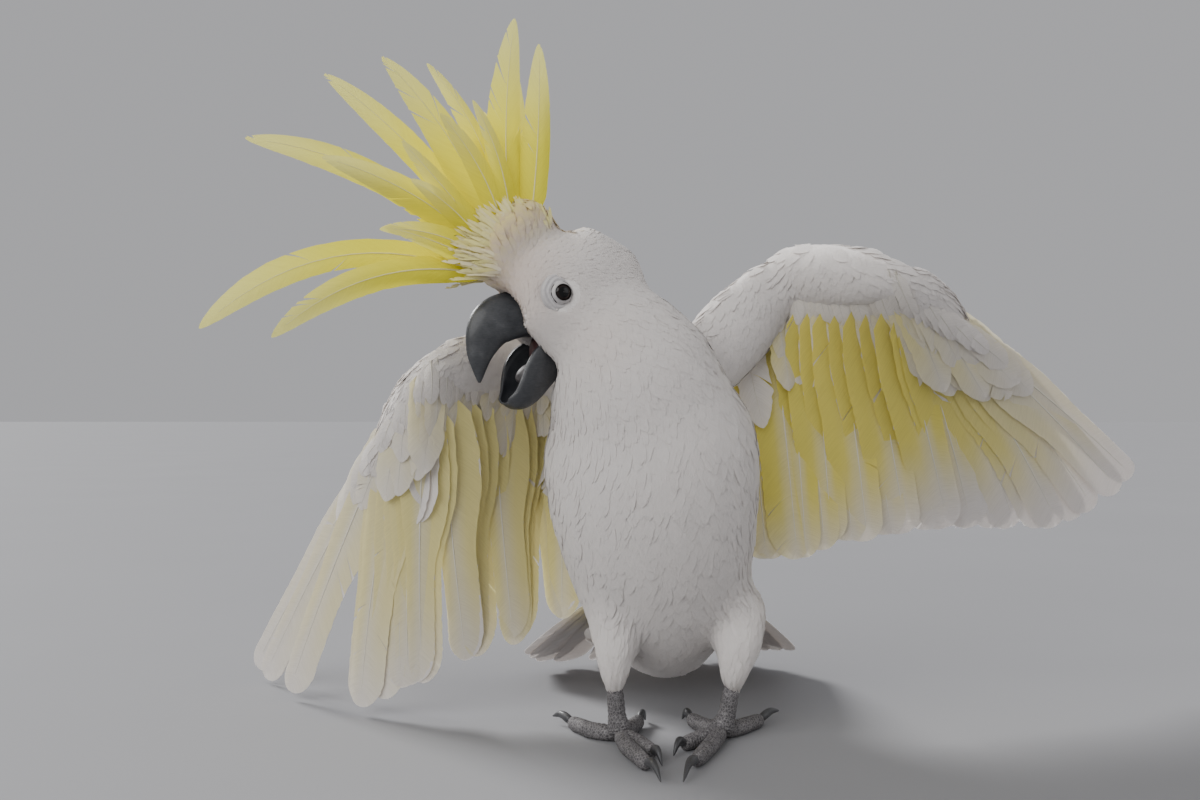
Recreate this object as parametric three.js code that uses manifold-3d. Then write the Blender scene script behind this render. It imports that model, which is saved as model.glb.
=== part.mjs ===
// A sulphur-crested cockatoo, life size: standing, head turned to its right, bill open,
// crest fanned, wings half spread and tail fanned behind.  Millimetres, +Z up, floor at Z = 0,
// the bird faces -Y and its left side is towards +X.
import * as THREE from 'three';
import { mergeVertices } from 'three/addons/utils/BufferGeometryUtils.js';
import Module from 'manifold-3d';

const wasm = await Module();
wasm.setup();

// ---- Driving sizes ----------------------------------------------------------------------
const JOINT_GAP = 0.3;            // air kept between neighbouring parts
const FLIGHT_FEATHER_THICK = 1.5; // vane thickness of wing and tail feathers
const CREST_FEATHER_THICK = 1.7;
const PRIMARY_COUNT = 10;
const SECONDARY_COUNT = 12;       // tertials included
const TAIL_FEATHER_COUNT = 12;
const TIP_NOTCH = 0.05;           // share of the length by which a row steps in between two tips
const TIP_MARGIN = 7;             // half the width of an outermost feather
const EYE_RADIUS = 7;
const EYE_PLACE = { ahead: 2.7, height: 246, aside: 21 };
const TAIL_ARCH = 6;              // rise of the tail's middle over a straight line
const WING_ARCH = 5;              // the same for the wing feathers, backward
const TERTIAL_STEP = 0.16;        // share of the upper arm between two tertials
const SOLE_HEIGHT = 5;            // axis of the foot over the floor
const CLAW_ARCH_HEIGHT = 7;
const FLOOR_BLOCK = 900;          // a block wider than the bird, used to flatten the soles
// Middle of the finished bird's outline on the floor, which becomes the frame's origin.
const OUTLINE_MIDDLE = new THREE.Vector3(69.7, 59.8, 0);

const point = (x, y, z) => new THREE.Vector3(x, y, z);
const UP = point(0, 0, 1);
const LEFTWARD = point(1, 0, 0);

const looks = {
  plumage: { color: '#e9e4dd', roughness: 0.9, metalness: 0 },
  flight: { color: '#efe6b8', roughness: 0.8, metalness: 0 },
  crest: { color: '#ece04a', roughness: 0.8, metalness: 0 },
  bill: { color: '#2b2d30', roughness: 0.45, metalness: 0 },
  mouth: { color: '#3a1f1e', roughness: 0.6, metalness: 0 },
  eye: { color: '#0d0b0b', roughness: 0.1, metalness: 0 },
  foot: { color: '#4b4a4d', roughness: 0.7, metalness: 0 },
  claw: { color: '#242325', roughness: 0.4, metalness: 0 },
};

// ---- Solids -----------------------------------------------------------------------------
function solidOf(geometry) {
  const bare = geometry.clone();
  bare.deleteAttribute('normal');
  bare.deleteAttribute('uv');
  const merged = mergeVertices(bare, 1e-4);
  const vertProperties = new Float32Array(merged.attributes.position.array);
  const triVerts = new Uint32Array(merged.index.array);
  return new wasm.Manifold(new wasm.Mesh({ numProp: 3, vertProperties, triVerts }));
}

function geometryOf(solid) {
  const mesh = solid.getMesh();
  const geometry = new THREE.BufferGeometry();
  geometry.setAttribute('position', new THREE.BufferAttribute(new Float32Array(mesh.vertProperties), 3));
  geometry.setIndex(new THREE.BufferAttribute(new Uint32Array(mesh.triVerts), 1));
  geometry.computeVertexNormals();
  return geometry;
}

const joined = (solids) => solids.reduce((whole, solid) => whole.add(solid));
const cutBy = (solid, cutters) => cutters.reduce((rest, cutter) => rest.subtract(cutter), solid);

// The largest of the pieces that a cut leaves, so that no loose sliver stays behind.
function largestPiece(solid) {
  const pieces = solid.decompose();
  return pieces.reduce((best, piece) => (piece.volume() > best.volume() ? piece : best));
}

// A rounded body along a path: a sphere drawn out so that its rings follow the stations,
// each [place, half width, half depth].  Widths lie along `across`; `blunt` squares the ends.
function softBody({ stations, across, sides, rings, blunt = 3 }, grow = 0) {
  const path = new THREE.CatmullRomCurve3(stations.map(([place]) => place));
  const sizes = new THREE.CatmullRomCurve3(stations.map(([, wide, deep]) => point(wide, deep, 0)));
  const geometry = new THREE.SphereGeometry(1, sides, rings);
  const position = geometry.attributes.position;
  const unit = point(0, 0, 0);
  for (let i = 0; i < position.count; i += 1) {
    unit.fromBufferAttribute(position, i);
    const along = THREE.MathUtils.clamp((1 - unit.y) / 2, 0, 1);
    const ring = Math.hypot(unit.x, unit.z);
    const fullness = (1 - Math.abs(unit.y) ** blunt) ** (1 / blunt);
    const centre = path.getPoint(along);
    const size = sizes.getPoint(along);
    const tangent = path.getTangent(along);
    const side = across.clone().addScaledVector(tangent, -across.dot(tangent)).normalize();
    const depth = tangent.clone().cross(side);
    if (ring > 1e-6) {
      centre.addScaledVector(side, (unit.x / ring) * (size.x * fullness + grow));
      centre.addScaledVector(depth, (unit.z / ring) * (size.y * fullness + grow));
    }
    centre.addScaledVector(tangent, -unit.y * grow);
    position.setXYZ(i, centre.x, centre.y, centre.z);
  }
  return solidOf(geometry);
}

// Width of a vane along its length: a narrow quill, an even blade and a rounded tip.
const QUILL_SHARE = 0.6;
const TIP_SHARE = 0.25;
const TIP_STARTS = 0.78;
function vaneWidth(along) {
  const rise = THREE.MathUtils.smoothstep(along, 0, 0.3);
  const rounding = THREE.MathUtils.clamp((along - TIP_STARTS) / (1 - TIP_STARTS), 0, 1);
  const fall = Math.sqrt(1 - rounding ** 2);
  return (QUILL_SHARE + (1 - QUILL_SHARE) * rise) * (TIP_SHARE + (1 - TIP_SHARE) * fall);
}

// One feather: a thin box bent along the curve, its flat side facing `face`.
function feather({ curve, width, face, thick, steps = 4 }) {
  const geometry = new THREE.BoxGeometry(1, 1, 1, 1, steps, 1);
  const position = geometry.attributes.position;
  const corner = point(0, 0, 0);
  for (let i = 0; i < position.count; i += 1) {
    corner.fromBufferAttribute(position, i);
    const along = corner.y + 0.5;
    const place = curve.getPoint(along);
    const tangent = curve.getTangent(along);
    const side = tangent.clone().cross(face).normalize();
    const flat = side.clone().cross(tangent);
    place.addScaledVector(side, corner.x * width * vaneWidth(along));
    place.addScaledVector(flat, corner.z * thick);
    position.setXYZ(i, place.x, place.y, place.z);
  }
  return solidOf(geometry);
}

// ---- Head: laid out in its own middle plane ---------------------------------------------
const HEAD_CENTRE = point(-28, -12, 246);
const HEAD_TURN = THREE.MathUtils.degToRad(65);
const FACING = point(-Math.sin(HEAD_TURN), -Math.cos(HEAD_TURN), 0);
const HEAD_SIDE = UP.clone().cross(FACING);
// A place in the head: `ahead` of its centre, `height` over the floor, `aside` to the bird's left.
const headPlace = (ahead, height, aside = 0) => HEAD_CENTRE.clone().setZ(height)
  .addScaledVector(FACING, ahead).addScaledVector(HEAD_SIDE, aside);

const headShape = {
  stations: [
    [headPlace(-56, 234), 21, 23],
    [headPlace(-33, 244), 29, 40],
    [headPlace(-8, 247), 30, 43],
    [headPlace(12, 258), 23, 29],
    [headPlace(26, 266), 12, 14],
  ],
  across: HEAD_SIDE, sides: 16, rings: 10,
};
// The open gape, cut out of the face between the two halves of the bill.
const gapeSpace = {
  stations: [
    [headPlace(27, 224), 32, 7],
    [headPlace(15, 211), 32, 9],
    [headPlace(12, 188), 32, 9],
  ],
  across: HEAD_SIDE, sides: 8, rings: 5, blunt: 4,
};
const crestPuffShape = {
  stations: [
    [headPlace(36, 252), 9, 8],
    [headPlace(31, 271), 15, 13],
    [headPlace(14, 285), 17, 15],
    [headPlace(-8, 284), 10, 8],
  ],
  across: HEAD_SIDE, sides: 10, rings: 8,
};
const upperBillShape = {
  stations: [
    [headPlace(2, 231), 11, 12],
    [headPlace(17, 234), 10.5, 14],
    [headPlace(31, 229), 8.5, 14],
    [headPlace(38, 216), 5.5, 9],
    [headPlace(39.5, 199), 1.6, 1.8],
  ],
  across: HEAD_SIDE, sides: 12, rings: 11, blunt: 4,
};
const lowerBillShape = {
  stations: [
    [headPlace(2, 219), 10, 10],
    [headPlace(5, 206), 10.5, 11],
    [headPlace(12, 196), 9.5, 10],
    [headPlace(23, 188), 4, 3.5],
  ],
  across: HEAD_SIDE, sides: 12, rings: 9, blunt: 4,
};
const lowerBillHollow = {
  stations: [
    [headPlace(16, 226), 8.5, 9],
    [headPlace(15, 213), 8, 8.5],
    [headPlace(18, 204), 6.8, 7],
    [headPlace(26, 199), 4.5, 5],
  ],
  across: HEAD_SIDE, sides: 10, rings: 7, blunt: 4,
};
const mouthShape = {
  stations: [
    [headPlace(-6, 218), 7, 7],
    [headPlace(4, 217), 8, 8.5],
    [headPlace(13, 215), 7, 7.5],
  ],
  across: HEAD_SIDE, sides: 8, rings: 5,
};
const tongueShape = {
  stations: [
    [headPlace(7, 211), 3.8, 4],
    [headPlace(11, 204), 4.2, 4],
    [headPlace(16, 201), 3.6, 3.2],
  ],
  across: HEAD_SIDE, sides: 8, rings: 5,
};

function eyeball(sideSign, grow = 0) {
  const geometry = new THREE.SphereGeometry(EYE_RADIUS + grow, 10, 7);
  const centre = headPlace(EYE_PLACE.ahead, EYE_PLACE.height, sideSign * EYE_PLACE.aside);
  geometry.translate(centre.x, centre.y, centre.z);
  return solidOf(geometry);
}

// ---- Crest: feathers fan in the head's middle plane -------------------------------------
// Each one: where its root sits on the arc from brow (0) to crown (1), the angle over the
// horizontal at which it leaves and at which it ends, its length, width and lean to the left.
const crestFeathers = [
  { root: 0.02, leave: 24, end: -48, length: 158, width: 17, lean: -4 },
  { root: 0.06, leave: 10, end: -46, length: 124, width: 17, lean: 5 },
  { root: 0.2, leave: 50, end: 0, length: 140, width: 18, lean: -6 },
  { root: 0.3, leave: 42, end: 8, length: 102, width: 18, lean: 6 },
  { root: 0.42, leave: 58, end: 32, length: 124, width: 18, lean: -7 },
  { root: 0.52, leave: 70, end: 38, length: 112, width: 24, lean: 4 },
  { root: 0.64, leave: 90, end: 44, length: 104, width: 18, lean: -6 },
  { root: 0.74, leave: 82, end: 98, length: 116, width: 24, lean: 3 },
  { root: 0.88, leave: 96, end: 84, length: 98, width: 18, lean: -6 },
  { root: 1, leave: 96, end: 86, length: 100, width: 19, lean: 6 },
];

const CREST_ROOT_ARC = { ahead: 13, height: 258, radius: 21, from: -12, to: 92 };

function crestCurve({ root, leave, end, length, lean }) {
  const points = [];
  const steps = 6;
  const arc = CREST_ROOT_ARC;
  const turn = THREE.MathUtils.degToRad(THREE.MathUtils.lerp(arc.from, arc.to, root));
  let ahead = arc.ahead + arc.radius * Math.cos(turn);
  let height = arc.height + arc.radius * Math.sin(turn);
  for (let i = 0; i <= steps; i += 1) {
    points.push(headPlace(ahead, height, lean * (0.4 + 1.6 * (i / steps))));
    const heading = THREE.MathUtils.degToRad(THREE.MathUtils.lerp(leave, end, (i + 0.5) / steps));
    ahead += (length / steps) * Math.cos(heading);
    height += (length / steps) * Math.sin(heading);
  }
  return new THREE.CatmullRomCurve3(points);
}

const crestBlade = (plan) => feather({
  curve: crestCurve(plan), width: plan.width, face: HEAD_SIDE, thick: CREST_FEATHER_THICK,
});

const crestSolid = () => joined([softBody(crestPuffShape), ...crestFeathers.map(crestBlade)]);

// ---- Neck and trunk ---------------------------------------------------------------------
const neckShape = {
  stations: [
    [point(-18, -6, 240), 28, 26],
    [point(-4, -6, 230), 37, 33],
    [point(9, -6, 214), 45, 38],
    [point(21, -5, 192), 53, 44],
    [point(26, -2, 176), 54, 44],
  ],
  across: point(0.86, 0, 0.5), sides: 16, rings: 7, blunt: 4,
};
const trunkShape = {
  stations: [
    [point(23, -4, 215), 44, 36],
    [point(26, -3, 194), 57, 45],
    [point(28, 2, 168), 63, 51],
    [point(30, 10, 136), 61, 51],
    [point(34, 20, 104), 56, 47],
    [point(37, 34, 72), 49, 40],
    [point(40, 54, 44), 36, 28],
    [point(42, 80, 22), 20, 13],
  ],
  across: LEFTWARD, sides: 18, rings: 13,
};

// ---- Feather rows -----------------------------------------------------------------------
// A row of overlapping feathers as one thin sheet: `rootAt` and `tipAt` give the two ends of
// feather number n, whole or in between, and the edge steps in between two tips.
function featherRow({ from, to, rootAt, tipAt, arch, steps, notchAt = () => TIP_NOTCH }) {
  const columns = [-0.5, -0.25, 0.25]; // the notch and both shoulders of each feather's tip
  const count = to - from + 1;
  const geometry = new THREE.BoxGeometry(1, 1, 1, count * columns.length, steps, 1);
  const position = geometry.attributes.position;
  const corner = point(0, 0, 0);
  for (let i = 0; i < position.count; i += 1) {
    corner.fromBufferAttribute(position, i);
    const column = Math.round((corner.x + 0.5) * count * columns.length);
    const local = columns[column % columns.length];
    const number = from + Math.floor(column / columns.length) + local;
    const reach = (corner.y + 0.5) * (local === -0.5 ? 1 - notchAt(number) : 1);
    const root = rootAt(number);
    const tip = tipAt(number);
    const next = tipAt(number + 0.5).sub(tipAt(number - 0.5));
    const flat = tip.clone().sub(root).cross(next).normalize();
    const place = root.lerp(tip, reach).addScaledVector(arch, 4 * reach * (1 - reach));
    place.addScaledVector(flat, corner.z * FLIGHT_FEATHER_THICK);
    position.setXYZ(i, place.x, place.y, place.z);
  }
  const solid = solidOf(geometry);
  return solid.volume() > 0 ? solid : solidOf(turnedInsideOut(geometry));
}

function turnedInsideOut(geometry) {
  const flipped = geometry.clone();
  const order = flipped.index.array;
  for (let i = 0; i < order.length; i += 3) {
    [order[i], order[i + 1]] = [order[i + 1], order[i]];
  }
  return flipped;
}

// A place along a curve, running on straight beyond either end by `margin` for each half step.
function placeAlong(curve, share, margin) {
  const inside = THREE.MathUtils.clamp(share, 0, 1);
  const beyond = Math.sign(share - inside);
  return curve.getPoint(inside).addScaledVector(curve.getTangent(inside), beyond * margin);
}

// ---- Tail -------------------------------------------------------------------------------
const TAIL_ROOT = point(40, 40, 86);
const TAIL_ROOT_WIDTH = 28;
const tailTips = new THREE.CatmullRomCurve3([
  point(-46, 144, 18), point(-30, 176, 5), point(46, 204, 4), point(104, 190, 10), point(130, 160, 18),
]);

const tailRow = () => featherRow({
  from: 0,
  to: TAIL_FEATHER_COUNT - 1,
  rootAt: (n) => TAIL_ROOT.clone().add(point(TAIL_ROOT_WIDTH * (n / (TAIL_FEATHER_COUNT - 1) - 0.5), 0, 0)),
  tipAt: (n) => placeAlong(tailTips, n / (TAIL_FEATHER_COUNT - 1), TIP_MARGIN),
  arch: point(0, 2, TAIL_ARCH),
  steps: 3,
});

// ---- Wings ------------------------------------------------------------------------------
// The left wing is held higher and further out than the right one.  The tips' curve runs from
// the outermost primary to the innermost tertial, `spread` gives each primary's share of it,
// and `notches` the depth of the wider gaps, by the number of the feather that they follow.
const leftWing = {
  shoulder: point(56, 20, 206), elbow: point(108, 34, 264),
  wrist: point(160, -16, 257), handEnd: point(209, 24, 231),
  tips: new THREE.CatmullRomCurve3([
    point(374, 162, 138), point(331, 156, 110), point(273, 132, 110), point(228, 106, 111),
    point(186, 86, 106), point(150, 72, 102), point(124, 56, 94), point(98, 44, 98),
  ]),
  spread: [0, 0.03, 0.09, 0.13, 0.17, 0.21, 0.25, 0.29, 0.33, 0.37],
  notches: { 0: 0.05, 1: 0.16, 2: 0.12, 3: 0.1, 4: 0.08 },
};
const rightWing = {
  shoulder: point(0, 22, 198), elbow: point(-36, 50, 216),
  wrist: point(-92, -14, 207), handEnd: point(-126, 20, 160),
  tips: new THREE.CatmullRomCurve3([
    point(-236, 146, 8), point(-196, 92, 6), point(-140, 54, 8), point(-112, 46, 22),
    point(-79, 44, 38), point(-57, 44, 47), point(-36, 46, 54), point(-12, 50, 66),
  ]),
  spread: [0, 0.03, 0.14, 0.26, 0.28, 0.31, 0.39, 0.42, 0.44, 0.46],
  notches: { 0: 0.03, 1: 0.3, 2: 0.5, 3: 0.04, 4: 0.04, 5: 0.16, 6: 0.04, 13: 0.2, 17: 0.2 },
};

const WING_FEATHERS = PRIMARY_COUNT + SECONDARY_COUNT;
const ELBOW_FEATHER = WING_FEATHERS - 4; // the last few are tertials, on the upper arm
const WRIST_GAP = 0.02;                  // kept between the two rows, as a share of one feather

// Roots run from the hand's end to the wrist, on to the elbow and down the upper arm.
function flightRoot(wing, number) {
  const wristNumber = PRIMARY_COUNT - 0.5;
  if (number < wristNumber) {
    return wing.handEnd.clone().lerp(wing.wrist, number / wristNumber);
  }
  if (number < ELBOW_FEATHER) {
    return wing.wrist.clone().lerp(wing.elbow, (number - wristNumber) / (ELBOW_FEATHER - wristNumber));
  }
  return wing.elbow.clone().lerp(wing.shoulder, TERTIAL_STEP * (number - ELBOW_FEATHER));
}

function flightTip(wing, number) {
  const last = PRIMARY_COUNT - 1;
  if (number >= last) {
    const inner = (number - last) / (WING_FEATHERS - 1 - last);
    return placeAlong(wing.tips, THREE.MathUtils.lerp(wing.spread[last], 1, inner), TIP_MARGIN);
  }
  const before = Math.max(0, Math.floor(number));
  const between = THREE.MathUtils.lerp(wing.spread[before], wing.spread[before + 1], number - before);
  const share = number < 0 ? -1 : between;
  return placeAlong(wing.tips, share, TIP_MARGIN);
}

const primaries = (wing) => featherRow({
  from: 0,
  to: PRIMARY_COUNT - 1,
  rootAt: (n) => flightRoot(wing, n - (n > PRIMARY_COUNT - 1 ? WRIST_GAP : 0)),
  tipAt: (n) => flightTip(wing, n - (n > PRIMARY_COUNT - 1 ? WRIST_GAP : 0)),
  arch: point(0, WING_ARCH, 0),
  steps: 3,
  notchAt: (n) => wing.notches[Math.floor(n)] ?? TIP_NOTCH,
});

const secondaries = (wing) => featherRow({
  from: PRIMARY_COUNT,
  to: WING_FEATHERS - 1,
  rootAt: (n) => flightRoot(wing, n),
  tipAt: (n) => flightTip(wing, n),
  arch: point(0, WING_ARCH, 0),
  steps: 3,
});

const towardTips = (wing, number) => flightTip(wing, number).sub(flightRoot(wing, number)).normalize();

const upperArmShape = (wing) => ({
  stations: [
    [wing.shoulder.clone().lerp(wing.elbow, -0.2), 22, 14],
    [wing.shoulder.clone().lerp(wing.elbow, 0.25), 26, 14],
    [wing.shoulder.clone().lerp(wing.elbow, 0.7), 24, 13],
    [wing.shoulder.clone().lerp(wing.elbow, 1.15), 16, 11],
  ],
  across: towardTips(wing, WING_FEATHERS - 2), sides: 10, rings: 6,
});
const forearmShape = (wing) => ({
  stations: [
    [wing.elbow.clone().lerp(wing.wrist, -0.2), 16, 11],
    [wing.elbow.clone().lerp(wing.wrist, 0.2), 23, 13],
    [wing.elbow.clone().lerp(wing.wrist, 0.7), 21, 12],
    [wing.elbow.clone().lerp(wing.wrist, 1.08), 14, 10],
  ],
  across: towardTips(wing, PRIMARY_COUNT + 3), sides: 10, rings: 6,
});
const handShape = (wing) => ({
  stations: [
    [wing.wrist.clone().lerp(wing.handEnd, -0.12), 13, 10],
    [wing.wrist.clone().lerp(wing.handEnd, 0.4), 17, 9],
    [wing.wrist.clone().lerp(wing.handEnd, 0.8), 13, 7],
    [wing.wrist.clone().lerp(wing.handEnd, 1.15), 7, 5],
  ],
  across: towardTips(wing, 5), sides: 10, rings: 6,
});

// ---- Legs and feet ----------------------------------------------------------------------
const rightLeg = {
  hip: point(4, 24, 84), knee: point(8, 6, 62), hock: point(8, 1, 40),
  cuff: point(8, 0, 24), pad: point(11, 0, 6),
  toes: [
    { name: 'toe_1', path: [point(18, 15, 4.2), point(23, 30, 4)], claw: point(27, 41, 1.2) },
    { name: 'toe_2', path: [point(21, -15, 4.2), point(28, -30, 4)], claw: point(32, -43, 1.2) },
    { name: 'toe_3', path: [point(15, -22, 4.4), point(24, -50, 4)], claw: point(30, -68, 1.2) },
    { name: 'toe_4', path: [point(-4, 9, 4.2), point(-17, 26, 4)], claw: point(-28, 38, 4.5) },
  ],
};
const leftLeg = {
  hip: point(82, 26, 84), knee: point(79, 8, 56), hock: point(75, 4, 40),
  cuff: point(74, 4, 24), pad: point(68, 5, 6),
  toes: [
    { name: 'toe_1', path: [point(59, 19, 4.2), point(53, 33, 4)], claw: point(49, 43, 1.2) },
    { name: 'toe_2', path: [point(56, -5, 4.2), point(45, -16, 4)], claw: point(39, -27, 1.2) },
    { name: 'toe_3', path: [point(61, -15, 4.4), point(49, -45, 4)], claw: point(41, -68, 1.2) },
    { name: 'toe_4', path: [point(80, 16, 4.2), point(94, 31, 4)], claw: point(107, 46, 5.5) },
  ],
};

const thighShape = (leg) => ({
  stations: [[leg.hip, 20, 24], [leg.knee, 14.5, 17], [leg.hock, 10, 11], [leg.cuff, 6.5, 7]],
  across: LEFTWARD, sides: 12, rings: 7,
});
const tarsusShape = (leg) => ({
  stations: [
    [leg.cuff.clone().add(point(0, 0, 8)), 5, 5],
    [leg.cuff.clone().lerp(leg.pad, 0.5), 5, 5],
    [leg.pad, 8, 8],
  ],
  across: LEFTWARD, sides: 10, rings: 6, blunt: 4,
});

function toeShape(leg, toe) {
  const heel = leg.pad.clone().setZ(SOLE_HEIGHT);
  const across = UP.clone().cross(toe.path[1].clone().sub(heel)).normalize();
  return {
    stations: [
      [heel.clone().lerp(toe.path[0], 0.2), 4.6, 4.6],
      [toe.path[0], 4.4, 4.5],
      [toe.path[0].clone().lerp(toe.path[1], 0.5), 4.1, 4.2],
      [toe.path[1], 3.6, 4.2],
    ],
    across, sides: 8, rings: 5, blunt: 5,
  };
}

function clawShape(toe) {
  const [, end] = toe.path;
  const arch = end.clone().lerp(toe.claw, 0.5).setZ(CLAW_ARCH_HEIGHT);
  const across = UP.clone().cross(toe.claw.clone().sub(end)).normalize();
  return {
    stations: [[end.clone().setZ(SOLE_HEIGHT), 2.4, 2.8], [arch, 1.9, 2.1], [toe.claw, 0.8, 0.8]],
    across, sides: 6, rings: 5, blunt: 5,
  };
}

const aboveFloor = () => {
  const block = new THREE.BoxGeometry(FLOOR_BLOCK, FLOOR_BLOCK, FLOOR_BLOCK);
  block.translate(0, 0, FLOOR_BLOCK / 2);
  return solidOf(block);
};

// ---- Assembly ---------------------------------------------------------------------------
const bird = new THREE.Group();
const floorSpace = aboveFloor();

function addNode(name, solid, look) {
  const mesh = new THREE.Mesh(geometryOf(largestPiece(solid)), new THREE.MeshStandardMaterial(look));
  mesh.name = name;
  bird.add(mesh);
}

function addHead() {
  const upperBillSpace = softBody(upperBillShape, JOINT_GAP);
  const lowerBillSpace = softBody(lowerBillShape, JOINT_GAP);
  const lowerBillShell = lowerBillSpace.subtract(softBody(lowerBillHollow, -JOINT_GAP));
  const lowerBill = softBody(lowerBillShape).subtract(softBody(lowerBillHollow)).subtract(upperBillSpace);
  const tongueSpace = softBody(tongueShape, JOINT_GAP);
  const eyeSockets = [eyeball(1, JOINT_GAP), eyeball(-1, JOINT_GAP)];
  addNode('eye_left', eyeball(1), looks.eye);
  addNode('eye_right', eyeball(-1), looks.eye);
  addNode('bill_upper', softBody(upperBillShape), looks.bill);
  addNode('bill_lower', lowerBill, looks.bill);
  addNode('tongue', cutBy(softBody(tongueShape), [upperBillSpace, lowerBillShell]), looks.mouth);
  addNode('mouth', cutBy(softBody(mouthShape), [upperBillSpace, lowerBillShell, tongueSpace]), looks.mouth);
  const mouthSpace = softBody(mouthShape, JOINT_GAP);
  const headCuts = [upperBillSpace, lowerBillSpace, tongueSpace, mouthSpace].concat(eyeSockets);
  addNode('head', cutBy(softBody(headShape), headCuts.concat(softBody(gapeSpace))), looks.plumage);
  addNode('crest', cutBy(crestSolid(), [softBody(headShape, JOINT_GAP), upperBillSpace]), looks.crest);
  return headCuts.concat(softBody(headShape, JOINT_GAP));
}

function addNeckAndTrunk(headCutters) {
  const neck = softBody(neckShape, JOINT_GAP);
  addNode('neck', cutBy(softBody(neckShape), headCutters), looks.plumage);
  addNode('trunk', cutBy(softBody(trunkShape), headCutters.concat(neck)), looks.plumage);
  return [neck, softBody(trunkShape, JOINT_GAP)];
}

function addWing(name, wing, bodyCutters) {
  const upperArm = softBody(upperArmShape(wing), JOINT_GAP);
  const forearm = softBody(forearmShape(wing), JOINT_GAP);
  const hand = softBody(handShape(wing), JOINT_GAP);
  const flesh = bodyCutters.concat(upperArm, forearm, hand);
  addNode(`${name}_upper_arm`, cutBy(softBody(upperArmShape(wing)), bodyCutters), looks.plumage);
  const forearmCutters = bodyCutters.concat(upperArm);
  addNode(`${name}_forearm`, cutBy(softBody(forearmShape(wing)), forearmCutters), looks.plumage);
  addNode(`${name}_hand`, cutBy(softBody(handShape(wing)), [upperArm, forearm]), looks.plumage);
  addNode(`${name}_primaries`, cutBy(primaries(wing), flesh), looks.flight);
  addNode(`${name}_secondaries`, cutBy(secondaries(wing), flesh), looks.flight);
}

function addTail(bodyCutters) {
  addNode('tail', cutBy(tailRow(), bodyCutters).intersect(floorSpace), looks.plumage);
}

function addLeg(name, leg, bodyCutters) {
  const thigh = softBody(thighShape(leg), JOINT_GAP);
  const tarsus = softBody(tarsusShape(leg), JOINT_GAP);
  addNode(`${name}_thigh`, cutBy(softBody(thighShape(leg)), bodyCutters), looks.plumage);
  addNode(`${name}_tarsus`, softBody(tarsusShape(leg)).subtract(thigh).intersect(floorSpace), looks.foot);
  let earlier = [tarsus, thigh];
  leg.toes.forEach((toe) => {
    const solid = cutBy(softBody(toeShape(leg, toe)), earlier).intersect(floorSpace);
    addNode(`${name}_${toe.name}`, solid, looks.foot);
    earlier = earlier.concat(softBody(toeShape(leg, toe), JOINT_GAP));
  });
  leg.toes.forEach((toe) => {
    const solid = cutBy(softBody(clawShape(toe)), earlier).intersect(floorSpace);
    addNode(`${name}_${toe.name}_claw`, solid, looks.claw);
  });
}

const headCutters = addHead();
const bodyCutters = addNeckAndTrunk(headCutters);
const bodyAndHead = bodyCutters.concat(headCutters);
const thighs = [softBody(thighShape(leftLeg), JOINT_GAP), softBody(thighShape(rightLeg), JOINT_GAP)];
addWing('wing_left', leftWing, bodyAndHead);
addWing('wing_right', rightWing, bodyAndHead);
addTail(bodyCutters.concat(thighs));
addLeg('leg_left', leftLeg, bodyCutters);
addLeg('leg_right', rightLeg, bodyCutters);
bird.position.copy(OUTLINE_MIDDLE).multiplyScalar(-1);

export default bird;
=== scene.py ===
"""Builds the looks of a life-size sulphur-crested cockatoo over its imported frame.

Sizes are in millimetres in the bird's own coordinates: the floor is at 0, the bird faces -Y and its
left side is towards +X.  in_frame() turns them into the frame's metres.
"""

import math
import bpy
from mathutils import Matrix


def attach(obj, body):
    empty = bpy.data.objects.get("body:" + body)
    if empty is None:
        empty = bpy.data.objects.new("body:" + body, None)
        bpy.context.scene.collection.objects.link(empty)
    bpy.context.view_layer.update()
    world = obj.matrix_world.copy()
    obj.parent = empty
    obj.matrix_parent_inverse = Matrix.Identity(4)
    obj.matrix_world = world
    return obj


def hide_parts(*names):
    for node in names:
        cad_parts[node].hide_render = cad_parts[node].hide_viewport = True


bl_info = {
    "name": "Sulphur-crested Cockatoo",
    "version": (1, 0, 0),
    "blender": (4, 5, 0),
    "location": "3D View > Sidebar > Cockatoo",
    "description": "Skin, plumage, crest, bill, eyes and feet of a life-size cockatoo",
    "category": "Add Mesh",
}

import bpy
import numpy as np
from bpy.props import FloatProperty, FloatVectorProperty, IntProperty, PointerProperty
from mathutils import Vector
from mathutils.bvhtree import BVHTree

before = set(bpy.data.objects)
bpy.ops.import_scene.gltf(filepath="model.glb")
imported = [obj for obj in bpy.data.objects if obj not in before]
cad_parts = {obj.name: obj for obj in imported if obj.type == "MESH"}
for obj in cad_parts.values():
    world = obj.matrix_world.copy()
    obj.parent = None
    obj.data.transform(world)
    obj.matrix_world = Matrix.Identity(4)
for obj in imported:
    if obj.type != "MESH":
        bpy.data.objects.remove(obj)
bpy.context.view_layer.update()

# ---- The bird's measurements ----
MM = 0.001
OUTLINE_MIDDLE = np.array([69.7, 59.8, 0.0])  # the frame's origin in the bird's coordinates
UP = np.array([0.0, 0.0, 1.0])
LEFTWARD = np.array([1.0, 0.0, 0.0])

HEAD_CENTRE = np.array([-28.0, -12.0, 0.0])
HEAD_TURN = math.radians(65)
FACING = np.array([-math.sin(HEAD_TURN), -math.cos(HEAD_TURN), 0.0])
HEAD_SIDE = np.cross(UP, FACING)
EYE_AHEAD, EYE_HEIGHT, EYE_ASIDE, EYE_RADIUS = 2.7, 246.0, 21.0, 7.0

PRIMARY_COUNT = 10
SECONDARY_COUNT = 12
WING_FEATHERS = PRIMARY_COUNT + SECONDARY_COUNT
ELBOW_FEATHER = WING_FEATHERS - 4  # the last few grow from the upper arm
TERTIAL_STEP = 0.16  # share of the upper arm between two of those
TAIL_FEATHER_COUNT = 12

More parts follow.
